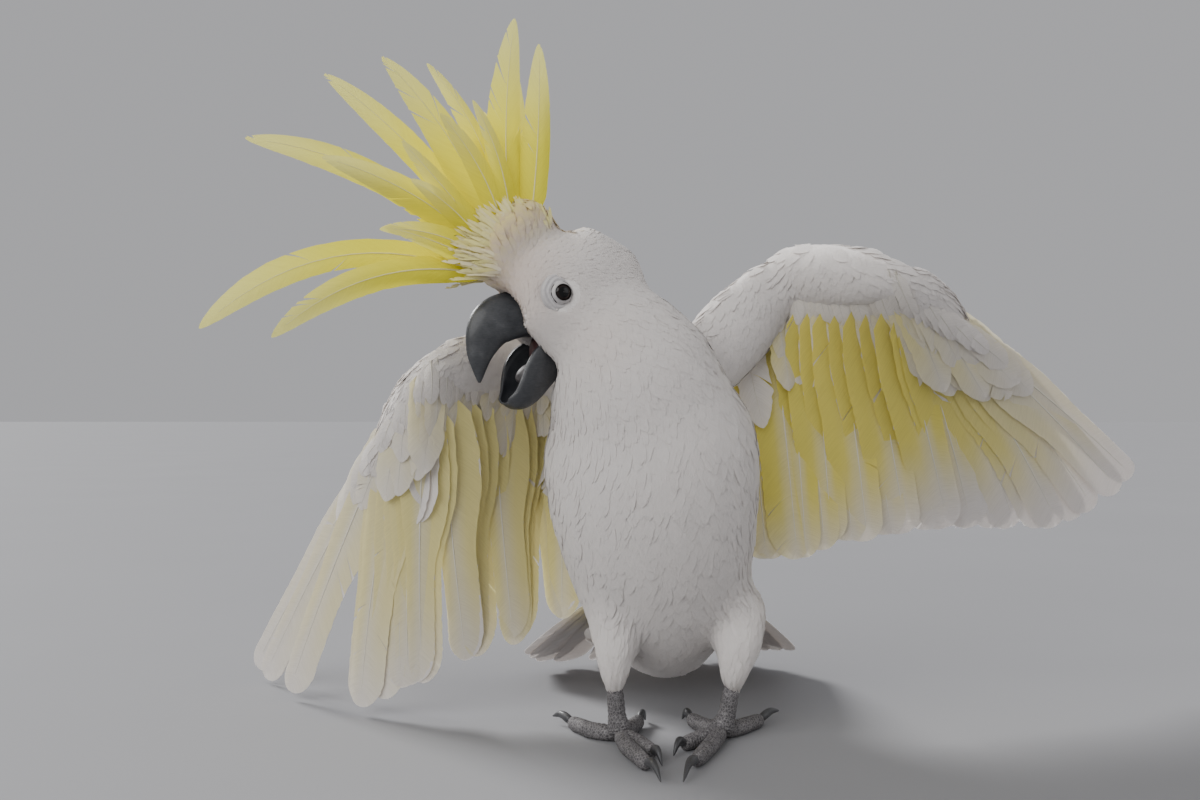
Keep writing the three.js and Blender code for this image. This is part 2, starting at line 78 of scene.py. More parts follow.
# Each wing's joints, then the line through its feathers' tips from the outermost to the innermost,
# with each primary's share of that line.  twist turns the primaries and the inner feathers to the
# front.  clump is the first feather of the groups that cling together, their size and how closely
# they do.  waist narrows the outer half of the primaries and the inner feathers.  fade is where the
# yellow wash starts and stops to fade along a feather.
WINGS = {
    "wing_left": {
        "shoulder": (56, 20, 206), "elbow": (108, 34, 264),
        "wrist": (160, -16, 257), "hand_end": (209, 24, 231),
        "tips": [(374, 162, 138), (331, 156, 110), (273, 132, 110), (228, 106, 111),
                 (186, 86, 106), (150, 72, 102), (124, 56, 94), (98, 44, 98)],
        "spread": [0, 0.03, 0.09, 0.13, 0.17, 0.21, 0.25, 0.29, 0.33, 0.37], "twist": (0.38, 0.12),
        "clump": (2, 2, 0.45), "waist": (0.25, 0.05), "covert_reach": 1.0,
        "wash": 1.0, "fade": (0.5, 0.95),
    },
    "wing_right": {
        "shoulder": (0, 22, 198), "elbow": (-36, 50, 216),
        "wrist": (-92, -14, 207), "hand_end": (-126, 20, 160),
        "tips": [(-236, 146, 8), (-196, 92, 6), (-140, 54, 8), (-112, 46, 22),
                 (-79, 44, 38), (-57, 44, 47), (-36, 46, 54), (-12, 50, 66)],
        "spread": [0, 0.03, 0.14, 0.26, 0.28, 0.31, 0.39, 0.42, 0.44, 0.46], "twist": (0.45, 0.08),
        "clump": (10, 4, 0.82), "waist": (0.25, 0.36), "covert_reach": 0.75,
        # painted light: this wing's yellow wash is weaker, as it looks paler lit from behind
        "wash": 0.72, "fade": (0.55, 1.15),
    },
}
TAIL_TIPS = [(-46, 144, 18), (-30, 176, 5), (46, 204, 4), (104, 190, 10), (130, 160, 18)]
TAIL_ROOT = np.array([40.0, 40.0, 86.0])
TAIL_COVERT_COUNT = 12
VENT = np.array([42.0, 82.0, 26.0])
TRUNK_LINE = [(26, -3, 194), (30, 10, 136), (37, 34, 72), (42, 80, 22)]

CREST_FILLERS = 12  # short feathers between the long ones
CREST_WIDTH_SHARE = 0.84  # the vane's share of the blade's width
PLUME_COUNT = 1500  # soft plumes round the crest's roots
CREST_STEPS = 8  # straight steps along a crest feather
CREST_ARC = {"ahead": 13, "height": 258, "radius": 21, "from": -12, "to": 92}

# Crest feathers: root's share of the arc from brow to crown, heading at root and tip in degrees
# over the horizontal, length, width and lean to the left.
CREST = [
    (0.02, 24, -48, 158, 17, -4), (0.06, 10, -46, 124, 17, 5), (0.2, 50, 0, 140, 18, -6),
    (0.3, 42, 8, 102, 18, 6), (0.42, 58, 32, 124, 18, -7), (0.52, 70, 38, 112, 24, 4),
    (0.64, 90, 44, 104, 18, -6), (0.74, 82, 98, 116, 24, 3), (0.88, 96, 84, 98, 18, -6),
    (1.0, 96, 86, 100, 19, 6),
]

# The middle of each shank's feather cuff and of its sole, and each toe's knuckle, end and claw point.
LEGS = {
    "leg_left": {
        "cuff": (74, 4, 24), "pad": (68, 5, 6),
        "toes": {
            "toe_1": ((59, 19, 4.2), (53, 33, 4), (49, 43, 1.2)),
            "toe_2": ((56, -5, 4.2), (45, -16, 4), (39, -27, 1.2)),
            "toe_3": ((61, -15, 4.4), (49, -45, 4), (41, -68, 1.2)),
            "toe_4": ((80, 16, 4.2), (94, 31, 4), (107, 46, 5.5)),
        },
    },
    "leg_right": {
        "cuff": (8, 0, 24), "pad": (11, 0, 6),
        "toes": {
            "toe_1": ((18, 15, 4.2), (23, 30, 4), (27, 41, 1.2)),
            "toe_2": ((21, -15, 4.2), (28, -30, 4), (32, -43, 1.2)),
            "toe_3": ((15, -22, 4.4), (24, -50, 4), (30, -68, 1.2)),
            "toe_4": ((-4, 9, 4.2), (-17, 26, 4), (-28, 38, 4.5)),
        },
    },
}

# Plumage regions: the solids they cover, feather length and width, gap between roots, lift of the tip
# off the skin, depth of the skin under the outline and cup, the bend across a vane.
REGION_KEYS = ("nodes", "length", "width", "gap", "lift", "depth", "cup")
REGION_ROWS = {
    "head": (["head"], 10, 4.4, 1.6, 1.1, 1.6, 0.04),
    "puff": ([], 17, 3.6, 1.3, 3.6, 5.0, 0.06),
    "neck": (["neck"], 16, 7.4, 2.2, 1.2, 1.8, 0.04),
    "trunk": (["trunk"], 23, 9.6, 2.9, 1.4, 2.1, 0.04),
    "thighs": (["leg_left_thigh", "leg_right_thigh"], 16, 6.4, 2.0, 1.2, 1.7, 0.06),
}
for wing_name in WINGS:
    flesh = [f"{wing_name}_{part}" for part in ("upper_arm", "forearm", "hand")]
    REGION_ROWS[wing_name] = (flesh, 15, 6.6, 2.1, 1.1, 1.6, 0.05)
REGIONS = {region: dict(zip(REGION_KEYS, row)) for region, row in REGION_ROWS.items()}


# ---- Settings shown in the sidebar ----
def colour_setting(name, description, default):
    return FloatVectorProperty(name=name, description=description, subtype="COLOR", default=default,
                               min=0, max=1)


def distance_setting(name, description, default, low, high):
    return FloatProperty(name=name, description=description, subtype="DISTANCE", default=default,
                         min=low, max=high)


class CockatooPlumageSettings(bpy.types.PropertyGroup):
    """Colours and sizes of the plumage."""

    white: colour_setting("White", "Body plumage", (0.86, 0.82, 0.79))
    wash: colour_setting("Yellow Wash", "Bases of the flight feathers", (0.90, 0.79, 0.16))
    crest: colour_setting("Crest", "Crest feathers", (0.96, 0.88, 0.06))
    skin_voxel: distance_setting("Skin Grain", "Grain of the skin's mesh", 0.0023, 0.001, 0.01)
    barbs: IntProperty(name="Barb Strips", description="Strips on each side of a flight feather",
                       default=56, min=8, max=120)


class CockatooHardPartSettings(bpy.types.PropertyGroup):
    """Colours of the bill, feet and eyes."""

    bill: colour_setting("Bill", "Slate horn", (0.022, 0.024, 0.028))
    foot: colour_setting("Foot", "Scaly skin", (0.095, 0.088, 0.092))
    ring: colour_setting("Eye Ring", "Bare skin round the eye", (0.58, 0.56, 0.55))


class CockatooStageSettings(bpy.types.PropertyGroup):
    """Floor, lamps and camera."""

    floor: colour_setting("Floor", "Floor colour", (0.27, 0.27, 0.28))
    lens: FloatProperty(name="Lens", description="Focal length in millimetres", default=32.4, min=10, max=200)
    camera_height: distance_setting("Camera Height", "Height over the floor", 0.181, 0.01, 2)
    camera_distance: distance_setting("Camera Distance", "Distance to the feet", 0.6, 0.1, 5)


def settings():
    return bpy.context.scene.cockatoo_plumage


# ---- Small geometry helpers ----
def in_frame(points):
    return (np.asarray(points, dtype=float) - OUTLINE_MIDDLE) * MM


def in_bird(points):
    return np.asarray(points, dtype=float) / MM + OUTLINE_MIDDLE


def head_place(ahead, height, aside=0.0):
    return HEAD_CENTRE + FACING * ahead + UP * height + HEAD_SIDE * aside


def unit(vectors):
    length = np.linalg.norm(vectors, axis=-1, keepdims=True)
    return vectors / np.maximum(length, 1e-9)


def smooth_step(x, low, high):
    t = np.clip((np.asarray(x, dtype=float) - low) / (high - low), 0, 1)
    return t * t * (3 - 2 * t)


def mix(a, b, t):
    return np.asarray(a) * (1 - t) + np.asarray(b) * t


def along_points(points, share):
    """Catmull-Rom curve through the points, at one share or many."""
    p = np.asarray(points, dtype=float)
    p = np.vstack([2 * p[0] - p[1], p, 2 * p[-1] - p[-2]])
    x = np.clip(np.atleast_1d(share), 0, 1) * (len(p) - 3)
    i = np.minimum(x.astype(int), len(p) - 4)
    f = (x - i)[:, None]
    a, b, c, d = p[i], p[i + 1], p[i + 2], p[i + 3]
    out = 0.5 * (2 * b + (c - a) * f + (2 * a - 5 * b + 4 * c - d) * f**2 + (3 * b - a - 3 * c + d) * f**3)
    return out if np.ndim(share) else out[0]


def step_along(points, share, reach):
    """The step from a little before each share of the curve to a little after it."""
    after, before = np.clip(share + reach, 0, 1), np.clip(share - reach, 0, 1)
    return along_points(points, after) - along_points(points, before)


# ---- Meshes ----
def new_object(name, data):
    obj = bpy.data.objects.new(name, data)
    bpy.context.scene.collection.objects.link(obj)
    return obj


def read(items, key, width, kind=float):
    """One property of all the items of a mesh, as rows of so many values."""
    values = np.empty(len(items) * width, dtype=kind)
    items.foreach_get(key, values)
    return values.reshape(-1, width)


def write_places(mesh, points):
    mesh.vertices.foreach_set("co", in_frame(points).astype(np.float32).ravel())


def write_tint(mesh, tint):
    colours = np.concatenate([tint, np.ones((len(tint), 1))], axis=1).astype(np.float32)
    mesh.attributes.new("tint", "FLOAT_COLOR", "POINT").data.foreach_set("color", colours.ravel())


def tube_faces(rings, sides):
    """Quads between rings of points, and the two end caps."""
    index = np.arange(rings * sides).reshape(rings, sides)
    after = np.roll(index, -1, axis=1)
    quads = np.stack([index[:-1], after[:-1], after[1:], index[1:]], axis=-1).reshape(-1, 4)
    return quads, [index[:1, ::-1], index[-1:]]


def add_mesh(name, points, faces, uv=None, tint=None, grain=None, soft=None):
    """A smooth mesh object from bird coordinates; faces is a list of arrays of corner numbers."""
    mesh = bpy.data.meshes.new(name)
    corners = np.concatenate([np.asarray(f, dtype=np.int32).ravel() for f in faces])
    sizes = np.concatenate([np.full(len(f), np.asarray(f).shape[1], dtype=np.int32) for f in faces])
    mesh.vertices.add(len(points))
    write_places(mesh, points)
    mesh.loops.add(len(corners))
    mesh.loops.foreach_set("vertex_index", corners)
    mesh.polygons.add(len(sizes))
    mesh.polygons.foreach_set("loop_start", np.concatenate([[0], np.cumsum(sizes)[:-1]]).astype(np.int32))
    mesh.update(calc_edges=True)
    mesh.polygons.foreach_set("use_smooth", np.ones(len(sizes), dtype=bool))
    if uv is not None:
        layer = mesh.uv_layers.new(name="OFBake")
        layer.data.foreach_set("uv", np.asarray(uv, dtype=np.float32)[corners].ravel())
    if tint is not None:
        write_tint(mesh, tint)
    if grain is not None:
        mesh.attributes.new("grain", "FLOAT_VECTOR", "POINT").data.foreach_set(
            "vector", np.asarray(grain, dtype=np.float32).ravel())
    mesh.update()
    if soft is not None:
        own = read(mesh.vertices, "normal", 3, np.float32)
        own *= np.where((own * soft).sum(axis=1) < 0, -1, 1)[:, None]
        mesh.normals_split_custom_set_from_vertices(unit(soft * 0.94 + own * 0.06))
    return new_object(name, mesh)


def loft(stations, across, sides, rings, blunt=3.0, reshape=None):
    """A rounded body along a path, as in the frame's solids, with (ring, side) points and faces."""
    path = [s[0] for s in stations]
    sizes = [(s[1], s[2], 0) for s in stations]
    cosine = np.cos(np.linspace(0, math.pi, rings + 1)[1:-1])
    share = (1 - cosine) / 2
    full = (1 - np.abs(cosine) ** blunt) ** (1 / blunt)
    centre = along_points(path, share)
    size = along_points(sizes, share)
    tangent = unit(step_along(path, share, 0.01))
    side = unit(across - tangent * (tangent @ across)[:, None])
    depth = np.cross(tangent, side)
    turn = np.linspace(0, 2 * math.pi, sides, endpoint=False)
    wide, deep = np.cos(turn)[None, :], np.sin(turn)[None, :]
    if reshape is not None:
        wide, deep = reshape(share[:, None], turn[None, :], wide, deep)
    points = (centre[:, None] + side[:, None] * (wide * (size[:, 0] * full)[:, None])[..., None]
              + depth[:, None] * (deep * (size[:, 1] * full)[:, None])[..., None])
    count = len(share)
    quads, caps = tube_faces(count, sides)
    turns = np.broadcast_to(turn[None, :] / (2 * math.pi), (count, sides))
    uv = np.stack([turns, np.broadcast_to(share[:, None], (count, sides))], axis=-1).reshape(-1, 2)
    return points.reshape(-1, 3), [quads] + caps, uv


def piece(obj, material, slot, *nodes):
    """Gives a visible piece its material, hangs it from the frame's root and hides the solids it replaces."""
    obj.data.materials.append(material)
    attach(obj, "root")
    if nodes:
        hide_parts(*nodes)


# ---- Feathers ----
def even(half):
    """The same half width on both sides of each shaft."""
    return np.stack([half, half], axis=1)


def bezier(base, bend, tip, t):
    """Quadratic curves (N, 3) at t (N, ...), with their tangents."""
    shape = (len(base),) + (1,) * (t.ndim - 1) + (3,)
    a, b, c = base.reshape(shape), bend.reshape(shape), tip.reshape(shape)
    s = t[..., None]
    place = a * (1 - s) ** 2 + b * 2 * s * (1 - s) + c * s**2
    return place, unit((b - a) * (1 - s) + (c - b) * s)


def plain_white(number, across, lead):
    return np.ones(number.shape + (3,)) * np.array(settings().white)


def vanes(base, bend, tip, face, widths, strips, steps, rng, quill=0.05, fray=0.05, cup=0.1, tilt=0.0,
          slant=52, blunt=1.2, taper=(2, 0.5), foot_width=0.3, waist=0.0, colour=plain_white, split=0.0,
          opening=0.02):
    """Feather vanes made of barb strips on both sides of each shaft.

    widths is (N, 2), the half widths on the -side and +side.  slant is the barbs' angle to the shaft,
    blunt the length of the tip in half widths, taper its two powers, foot_width the share of
    the width at the root, waist the narrowing of the outer half."""
    n = len(base)
    length = (np.linalg.norm(bend - base, axis=1) + np.linalg.norm(tip - bend, axis=1)).reshape(n, 1, 1)
    width = np.asarray(widths, dtype=float).reshape(n, 2, 1)
    barbs = (n, 2, strips + 1)
    bound = 1 - (1 - np.linspace(0, 1, strips + 1)) ** 1.45
    shaft_end = 1 - 0.25 * width / length
    root = quill + (shaft_end - quill) * bound
    forward = width / math.tan(math.radians(slant)) / length
    end = root + forward * (1 - bound**5) + (1 - shaft_end) * bound**5
    ragged = np.cumsum(rng.normal(0, 1, barbs), axis=2) * fray * 0.1 * forward
    end = end + ragged * (1 - bound**3)
    end = np.clip(end, 0, 1)
    round_from = 1 - blunt * width / length
    rounding = np.clip((end - round_from) / (1 - round_from), 0, 1)
    narrow = 1 - np.asarray(waist, dtype=float).reshape(-1, 1, 1) * smooth_step(end, 0.35, 0.62)
    plump = foot_width + (1 - foot_width) * smooth_step(end, quill, quill + 0.25)
    reach_out = width * plump * narrow * (1 - rounding ** taper[0]) ** taper[1]
    reach_out = reach_out * (1 + fray * rng.normal(0, 1, barbs))
    curl = np.cumsum(rng.normal(0, 1, barbs), axis=2) / math.sqrt(strips) * fray * width
    parted = (rng.random(barbs) < split) * rng.uniform(0.3, 1, barbs) * opening
    pair = np.arange(strips)[:, None] + np.array([0, 1])
    away = np.array([1.0, -1.0])
    s = np.linspace(0, 1, steps + 1)
    root, end, reach_out, curl = [x[..., pair][..., None] for x in (root, end, reach_out, curl)]
    parted = (parted[..., pair] * away)[..., None]
    along = root + (end - root) * s**1.25 + parted * s**2
    out = reach_out * s**0.92
    shape = along.shape
    place, tangent = bezier(base, bend, tip, np.clip(along, 0, 1.0))
    side = unit(np.cross(tangent, np.asarray(face).reshape(n, 1, 1, 1, 1, 3)))
    flat = np.cross(side, tangent)
    hand = np.array([-1.0, 1.0]).reshape(1, 2, 1, 1, 1)
    lean = np.asarray(tilt, dtype=float).reshape(-1, 1, 1, 1, 1)
    wide = width.reshape(n, 2, 1, 1, 1)
    bowl = np.asarray(cup, dtype=float).reshape(-1, 1, 1, 1, 1)
    lift = -bowl * out**2 / wide + hand * out * np.sin(lean) + curl * s**2
    points = place + side * (hand * out * np.cos(lean))[..., None] + flat * lift[..., None]
    number = np.broadcast_to(np.arange(n).reshape(n, 1, 1, 1, 1), shape)
    across = hand * out / wide
    tint = colour(number, across, along)
    ell = length.reshape(n, 1, 1, 1, 1)
    grain = np.stack([root * ell * np.ones(shape) + number * 37.0, out, number * 1.7], axis=-1)
    block = np.arange(out.size).reshape(shape)
    quads = np.stack([block[..., 0, :-1], block[..., 0, 1:], block[..., 1, 1:], block[..., 1, :-1]], axis=-1)
    quads[:, 0] = quads[:, 0][..., ::-1]
    return {"points": points.reshape(-1, 3), "quads": quads.reshape(-1, 4), "tint": tint.reshape(-1, 3),
            "grain": grain.reshape(-1, 3), "number": number.ravel(),
            "chart": np.stack([across.ravel(), along.ravel()], axis=-1)}


SHAFT_SIDES = 5
SHAFT_END = 0.93  # the shaft's share of the feather's length


def shafts(base, bend, tip, face, radius, colour, steps=14):
    """Tapering feather shafts, one for each curve."""
    n, sides = len(base), SHAFT_SIDES
    t = np.broadcast_to(np.linspace(0, SHAFT_END, steps + 1)[None, :], (n, steps + 1))
    place, tangent = bezier(base, bend, tip, t)
    side = unit(np.cross(tangent, np.asarray(face)[:, None]))
    flat = np.cross(side, tangent)
    thick = np.asarray(radius).reshape(n, 1) * (1 - 0.85 * t)
    turn = np.linspace(0, 2 * math.pi, sides, endpoint=False)
    points = (place[:, :, None] + side[:, :, None] * (np.cos(turn) * thick[..., None])[..., None]
              + flat[:, :, None] * (np.sin(turn) * thick[..., None])[..., None])
    block = np.arange(n * (steps + 1) * sides).reshape(n, steps + 1, sides)
    here, after = block, np.roll(block, -1, axis=2)
    quads = np.stack([here[:, :-1], after[:, :-1], after[:, 1:], here[:, 1:]], axis=-1)
    number = np.broadcast_to(np.arange(n).reshape(n, 1, 1), block.shape)
    count = block.size
    chart = np.stack([np.broadcast_to(np.cos(turn) * 0.04, block.shape).ravel(),
                      np.broadcast_to(t[..., None], block.shape).ravel()], axis=-1)
    return {"points": points.reshape(-1, 3), "quads": quads.reshape(-1, 4),
            "tint": np.ones((count, 3)) * np.array(colour), "grain": np.zeros((count, 3)),
            "number": number.ravel(), "chart": chart}


def joined(parts):
    """One set of feather arrays from several."""
    start = np.cumsum([0] + [len(p["points"]) for p in parts[:-1]])
    keys = ("points", "tint", "grain", "number", "chart")
    whole = {key: np.concatenate([p[key] for p in parts]) for key in keys}
    whole["quads"] = np.concatenate([p["quads"] + s for p, s in zip(parts, start)])
    return whole


BAKE_PATCH = 0.003  # a contour feather's size on the bake map


def feather_object(name, parts, count, root_uv=None, lay=None):
    """Joins feather arrays into one object.  Its bake map has a cell for each feather, or, with
    root_uv, a small patch at the place of each feather's root on the skin's unwrap."""
    data = joined(parts)
    across, lead = data["chart"][:, 0], data["chart"][:, 1]
    if root_uv is None:
        columns = math.ceil(math.sqrt(count * 3))
        rows = math.ceil(count / columns)
        cell = np.stack([data["number"] % columns, data["number"] // columns], axis=-1)
        aside, ahead = np.clip(across, -1.5, 1.5), np.clip(lead, 0, 1.02)
        inside = np.stack([0.5 + 0.3 * aside, 0.04 + 0.9 * ahead], axis=-1)
        uv = (cell + inside) / np.array([columns, rows])
    else:
        patch = np.stack([across * BAKE_PATCH / 2, (lead - 0.5) * BAKE_PATCH], axis=-1)
        uv = root_uv[data["number"]] + patch
    soft = None
    if lay is not None:
        share = np.clip(lead, 0, 1)[:, None]
        soft = unit(lay[0][data["number"]] * (1 - share) + lay[1][data["number"]] * share)
    uv = np.clip(uv, 0, 1)
    return add_mesh(name, data["points"], [data["quads"]], uv, data["tint"], data["grain"], soft)


# ---- Materials ----
def new_material(name, roughness, specular=0.35, sheen=0.0, coat=0.0):
    material = bpy.data.materials.new(name)
    material.use_nodes = True
    nodes = material.node_tree.nodes
    shader = nodes["Principled BSDF"]
    shader.inputs["Roughness"].default_value = roughness
    shader.inputs["Specular IOR Level"].default_value = specular
    shader.inputs["Sheen Weight"].default_value = sheen
    shader.inputs["Sheen Roughness"].default_value = 0.6
    shader.inputs["Coat Weight"].default_value = coat
    shader.inputs["Coat Roughness"].default_value = 0.12
    return material, nodes, material.node_tree.links, shader


def own_place(nodes):
    """The place on the object itself."""
    return nodes.new("ShaderNodeTexCoord").outputs["Object"]


def noise(nodes, links, vector, scale, detail=3.0, roughness=0.5):
    texture = nodes.new("ShaderNodeTexNoise")
    texture.inputs["Scale"].default_value = scale
    texture.inputs["Detail"].default_value = detail
    texture.inputs["Roughness"].default_value = roughness
    links.new(vector, texture.inputs["Vector"])
    return texture.outputs["Fac"]


def ramp(nodes, links, value, stops):
    node = nodes.new("ShaderNodeValToRGB")
    while len(node.color_ramp.elements) < len(stops):
        node.color_ramp.elements.new(0.5)
    for element, (position, colour) in zip(node.color_ramp.elements, stops):
        element.position = position
        element.color = (*colour, 1)
    links.new(value, node.inputs["Fac"])
    return node.outputs["Color"]


def tinted(nodes, links, colour, shade, amount):
    """The colour multiplied by a shade pattern."""
    node = nodes.new("ShaderNodeMix")
    node.data_type = "RGBA"
    node.blend_type = "MULTIPLY"
    node.inputs["Factor"].default_value = amount
    links.new(colour, node.inputs["A"])
    links.new(shade, node.inputs["B"])
    return node.outputs["Result"]


def bumped(nodes, links, shader, height, strength, distance):
    node = nodes.new("ShaderNodeBump")
    node.inputs["Strength"].default_value = strength
    node.inputs["Distance"].default_value = distance
    links.new(height, node.inputs["Height"])
    links.new(node.outputs["Normal"], shader.inputs["Normal"])


def attribute(nodes, name):
    node = nodes.new("ShaderNodeAttribute")
    node.attribute_name = name
    return node


def stretched(nodes, links, vector, scale):
    node = nodes.new("ShaderNodeMapping")
    node.inputs["Scale"].default_value = scale
    links.new(vector, node.inputs["Vector"])
    return node.outputs["Vector"]


def feather_material(name, roughness=0.75, sheen=0.25, streak=0.5, glow=0.3):
    """Feather colour from the mesh, with fine streaks along the barbs.  glow is the share of the
    light that passes through the thin vanes."""
    material, nodes, links, shader = new_material(name, roughness, 0.12, sheen)
    tint = attribute(nodes, "tint").outputs["Color"]
    grain = stretched(nodes, links, attribute(nodes, "grain").outputs["Vector"], (1.1, 0.06, 1))
    fine = noise(nodes, links, grain, 1.6, 4.0, 0.6)
    shade = ramp(nodes, links, fine, [(0.25, (0.72, 0.70, 0.68)), (0.6, (1, 1, 1))])
    colour = tinted(nodes, links, tint, shade, streak)
    links.new(colour, shader.inputs["Base Color"])
    bumped(nodes, links, shader, fine, 0.35, 0.0006)
    through = nodes.new("ShaderNodeBsdfTranslucent")
    links.new(colour, through.inputs["Color"])
    blend = nodes.new("ShaderNodeMixShader")
    blend.inputs["Fac"].default_value = glow
    links.new(shader.outputs["BSDF"], blend.inputs[1])
    links.new(through.outputs["BSDF"], blend.inputs[2])
    links.new(blend.outputs["Shader"], nodes["Material Output"].inputs["Surface"])
    return material


BODY_LOOK = {"roughness": 0.8, "specular": 0.2, "sheen": 0.2, "grain": (900, 4),
             "dark": (0.8, 0.78, 0.76), "amount": 0.6, "bump": (0.4, 0.0006)}
EYE_RING_LOOK = {"roughness": 0.6, "specular": 0.3, "sheen": 0.0, "grain": (700, 4, 0.6),
                 "dark": (0.78, 0.76, 0.78), "amount": 0.8, "bump": (0.5, 0.0005)}


def tinted_skin_material(name, roughness, specular, sheen, grain, dark, amount, bump):
    """Skin with the mesh's own colour, mottled by the noise of grain and roughened by bump."""
    material, nodes, links, shader = new_material(name, roughness, specular, sheen)
    fine = noise(nodes, links, own_place(nodes), *grain)
    shade = ramp(nodes, links, fine, [(0.3, dark), (0.7, (1, 1, 1))])
    tint = attribute(nodes, "tint").outputs["Color"]
    links.new(tinted(nodes, links, tint, shade, amount), shader.inputs["Base Color"])
    bumped(nodes, links, shader, fine, *bump)
    return material


HORN_POWDER = (0.11, 0.113, 0.118)


def horn_material(name, colour, roughness):
    """Worn horn: growth lines, powdery patches and fine scratches."""
    material, nodes, links, shader = new_material(name, roughness, 0.45, coat=0.15)
    place = own_place(nodes)
    cloud = noise(nodes, links, place, 90, 5, 0.6)
    scratch = noise(nodes, links, stretched(nodes, links, place, (400, 400, 2500)), 1.0, 3, 0.6)
    stops = [(0.35, colour), (0.62, mix(colour, HORN_POWDER, 0.35)), (0.8, HORN_POWDER)]
    colour_map = ramp(nodes, links, cloud, stops)
    lines = ramp(nodes, links, scratch, [(0.35, (0.65, 0.65, 0.65)), (0.6, (1, 1, 1))])
    links.new(tinted(nodes, links, colour_map, lines, 0.7), shader.inputs["Base Color"])
    rough = nodes.new("ShaderNodeMapRange")
    rough.inputs["To Min"].default_value = roughness - 0.1
    rough.inputs["To Max"].default_value = roughness + 0.25
    links.new(cloud, rough.inputs["Value"])
    links.new(rough.outputs["Result"], shader.inputs["Roughness"])
    bumped(nodes, links, shader, scratch, 0.25, 0.0004)
    return material


def scaly_material():
    """Foot skin: dark scales with pale seams between them."""
    material, nodes, links, shader = new_material("foot_scales", 0.62, 0.35)
    place = own_place(nodes)
    cells = nodes.new("ShaderNodeTexVoronoi")
    cells.feature = "DISTANCE_TO_EDGE"
    cells.inputs["Scale"].default_value = 620
    links.new(place, cells.inputs["Vector"])
    seam = cells.outputs["Distance"]
    dark = tuple(bpy.context.scene.cockatoo_hard_parts.foot)
    stops = [(0.0, (0.26, 0.25, 0.25)), (0.09, mix(dark, (0.2, 0.19, 0.19), 0.4)), (0.25, dark)]
    colour_map = ramp(nodes, links, seam, stops)
    cloud = noise(nodes, links, place, 120, 4)
    shade = ramp(nodes, links, cloud, [(0.3, (0.6, 0.6, 0.6)), (0.7, (1, 1, 1))])
    links.new(tinted(nodes, links, colour_map, shade, 0.8), shader.inputs["Base Color"])
    bumped(nodes, links, shader, seam, 0.7, 0.0008)
    return material


def eye_material():
    material, nodes, links, shader = new_material("eye", 0.05, 0.3)
    place = attribute(nodes, "grain").outputs["Vector"]
    split = nodes.new("ShaderNodeSeparateXYZ")
    links.new(place, split.inputs["Vector"])
    pupil = (0.002, 0.002, 0.002)
    stops = [(0.0, pupil), (0.5, pupil), (0.56, (0.014, 0.007, 0.005)), (0.85, (0.010, 0.005, 0.004)),
             (0.95, (0.006, 0.004, 0.004))]
    iris = ramp(nodes, links, split.outputs["X"], stops)
    fleck = noise(nodes, links, stretched(nodes, links, place, (3, 30, 1)), 4, 3)
    shade = ramp(nodes, links, fleck, [(0.3, (0.5, 0.5, 0.5)), (0.7, (1, 1, 1))])
    links.new(tinted(nodes, links, iris, shade, 0.5), shader.inputs["Base Color"])
    return material


def moist_material(name, dark, light):
    material, nodes, links, shader = new_material(name, 0.5, 0.35)
    place = own_place(nodes)
    cloud = noise(nodes, links, place, 260, 4, 0.6)
    links.new(ramp(nodes, links, cloud, [(0.3, dark), (0.7, light)]), shader.inputs["Base Color"])
    bumped(nodes, links, shader, cloud, 0.4, 0.0008)
    return material


# ---- Skin ----
PUFF = [(head_place(31, 245), 11, 10), (head_place(31, 269), 15, 14), (head_place(14, 285), 17, 15),
        (head_place(-8, 284), 10, 8)]


def node_arrays(name):
    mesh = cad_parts[name].data
    mesh.calc_loop_triangles()
    return in_bird(read(mesh.vertices, "co", 3)), read(mesh.loop_triangles, "vertices", 3, np.int32)


def merged(parts):
    """Points and triangles of several shapes as one."""
    start = np.cumsum([0] + [len(p) for p, _ in parts[:-1]])
    return np.concatenate([p for p, _ in parts]), np.concatenate([t + s for (_, t), s in zip(parts, start)])


def fan_cap(cap):
    """Triangles for an end cap of a loft."""
    c = np.asarray(cap)[0]
    return np.stack([np.full(len(c) - 2, c[0]), c[1:-1], c[2:]], axis=-1)


def puff_arrays():
    points, faces, _ = loft(PUFF, HEAD_SIDE, 20, 14)
    quads = faces[0]
    caps = [fan_cap(cap) for cap in faces[1:]]
    triangles = np.concatenate([quads[:, [0, 1, 2]], quads[:, [0, 2, 3]], *caps])
    return points, triangles


def region_shapes():
    """Each region's points and triangles, from the frame's solids of flesh."""
    shapes = {}
    for region, plan in REGIONS.items():
        shapes[region] = merged([node_arrays(n) for n in plan["nodes"]] or [puff_arrays()])
    return shapes


class Surface:
    """Points, triangles and a nearest-place search on a mesh, in bird coordinates."""

    def __init__(self, points, triangles):
        self.points, self.triangles = points, triangles
        self.tree = BVHTree.FromPolygons([Vector(p) for p in points], [tuple(t) for t in triangles])

    def nearest(self, places):
        found = [self.tree.find_nearest(Vector(p)) for p in places]
        spots = np.array([f[0] for f in found])
        normals = np.array([f[1] for f in found])
        faces = np.array([f[2] for f in found])
        return spots, normals, faces, np.array([f[3] for f in found])


def neighbours_mean(values, edges, degree):
    total = np.zeros_like(values)
    np.add.at(total, edges[:, 0], values[edges[:, 1]])
    np.add.at(total, edges[:, 1], values[edges[:, 0]])
    return total / degree[:, None]


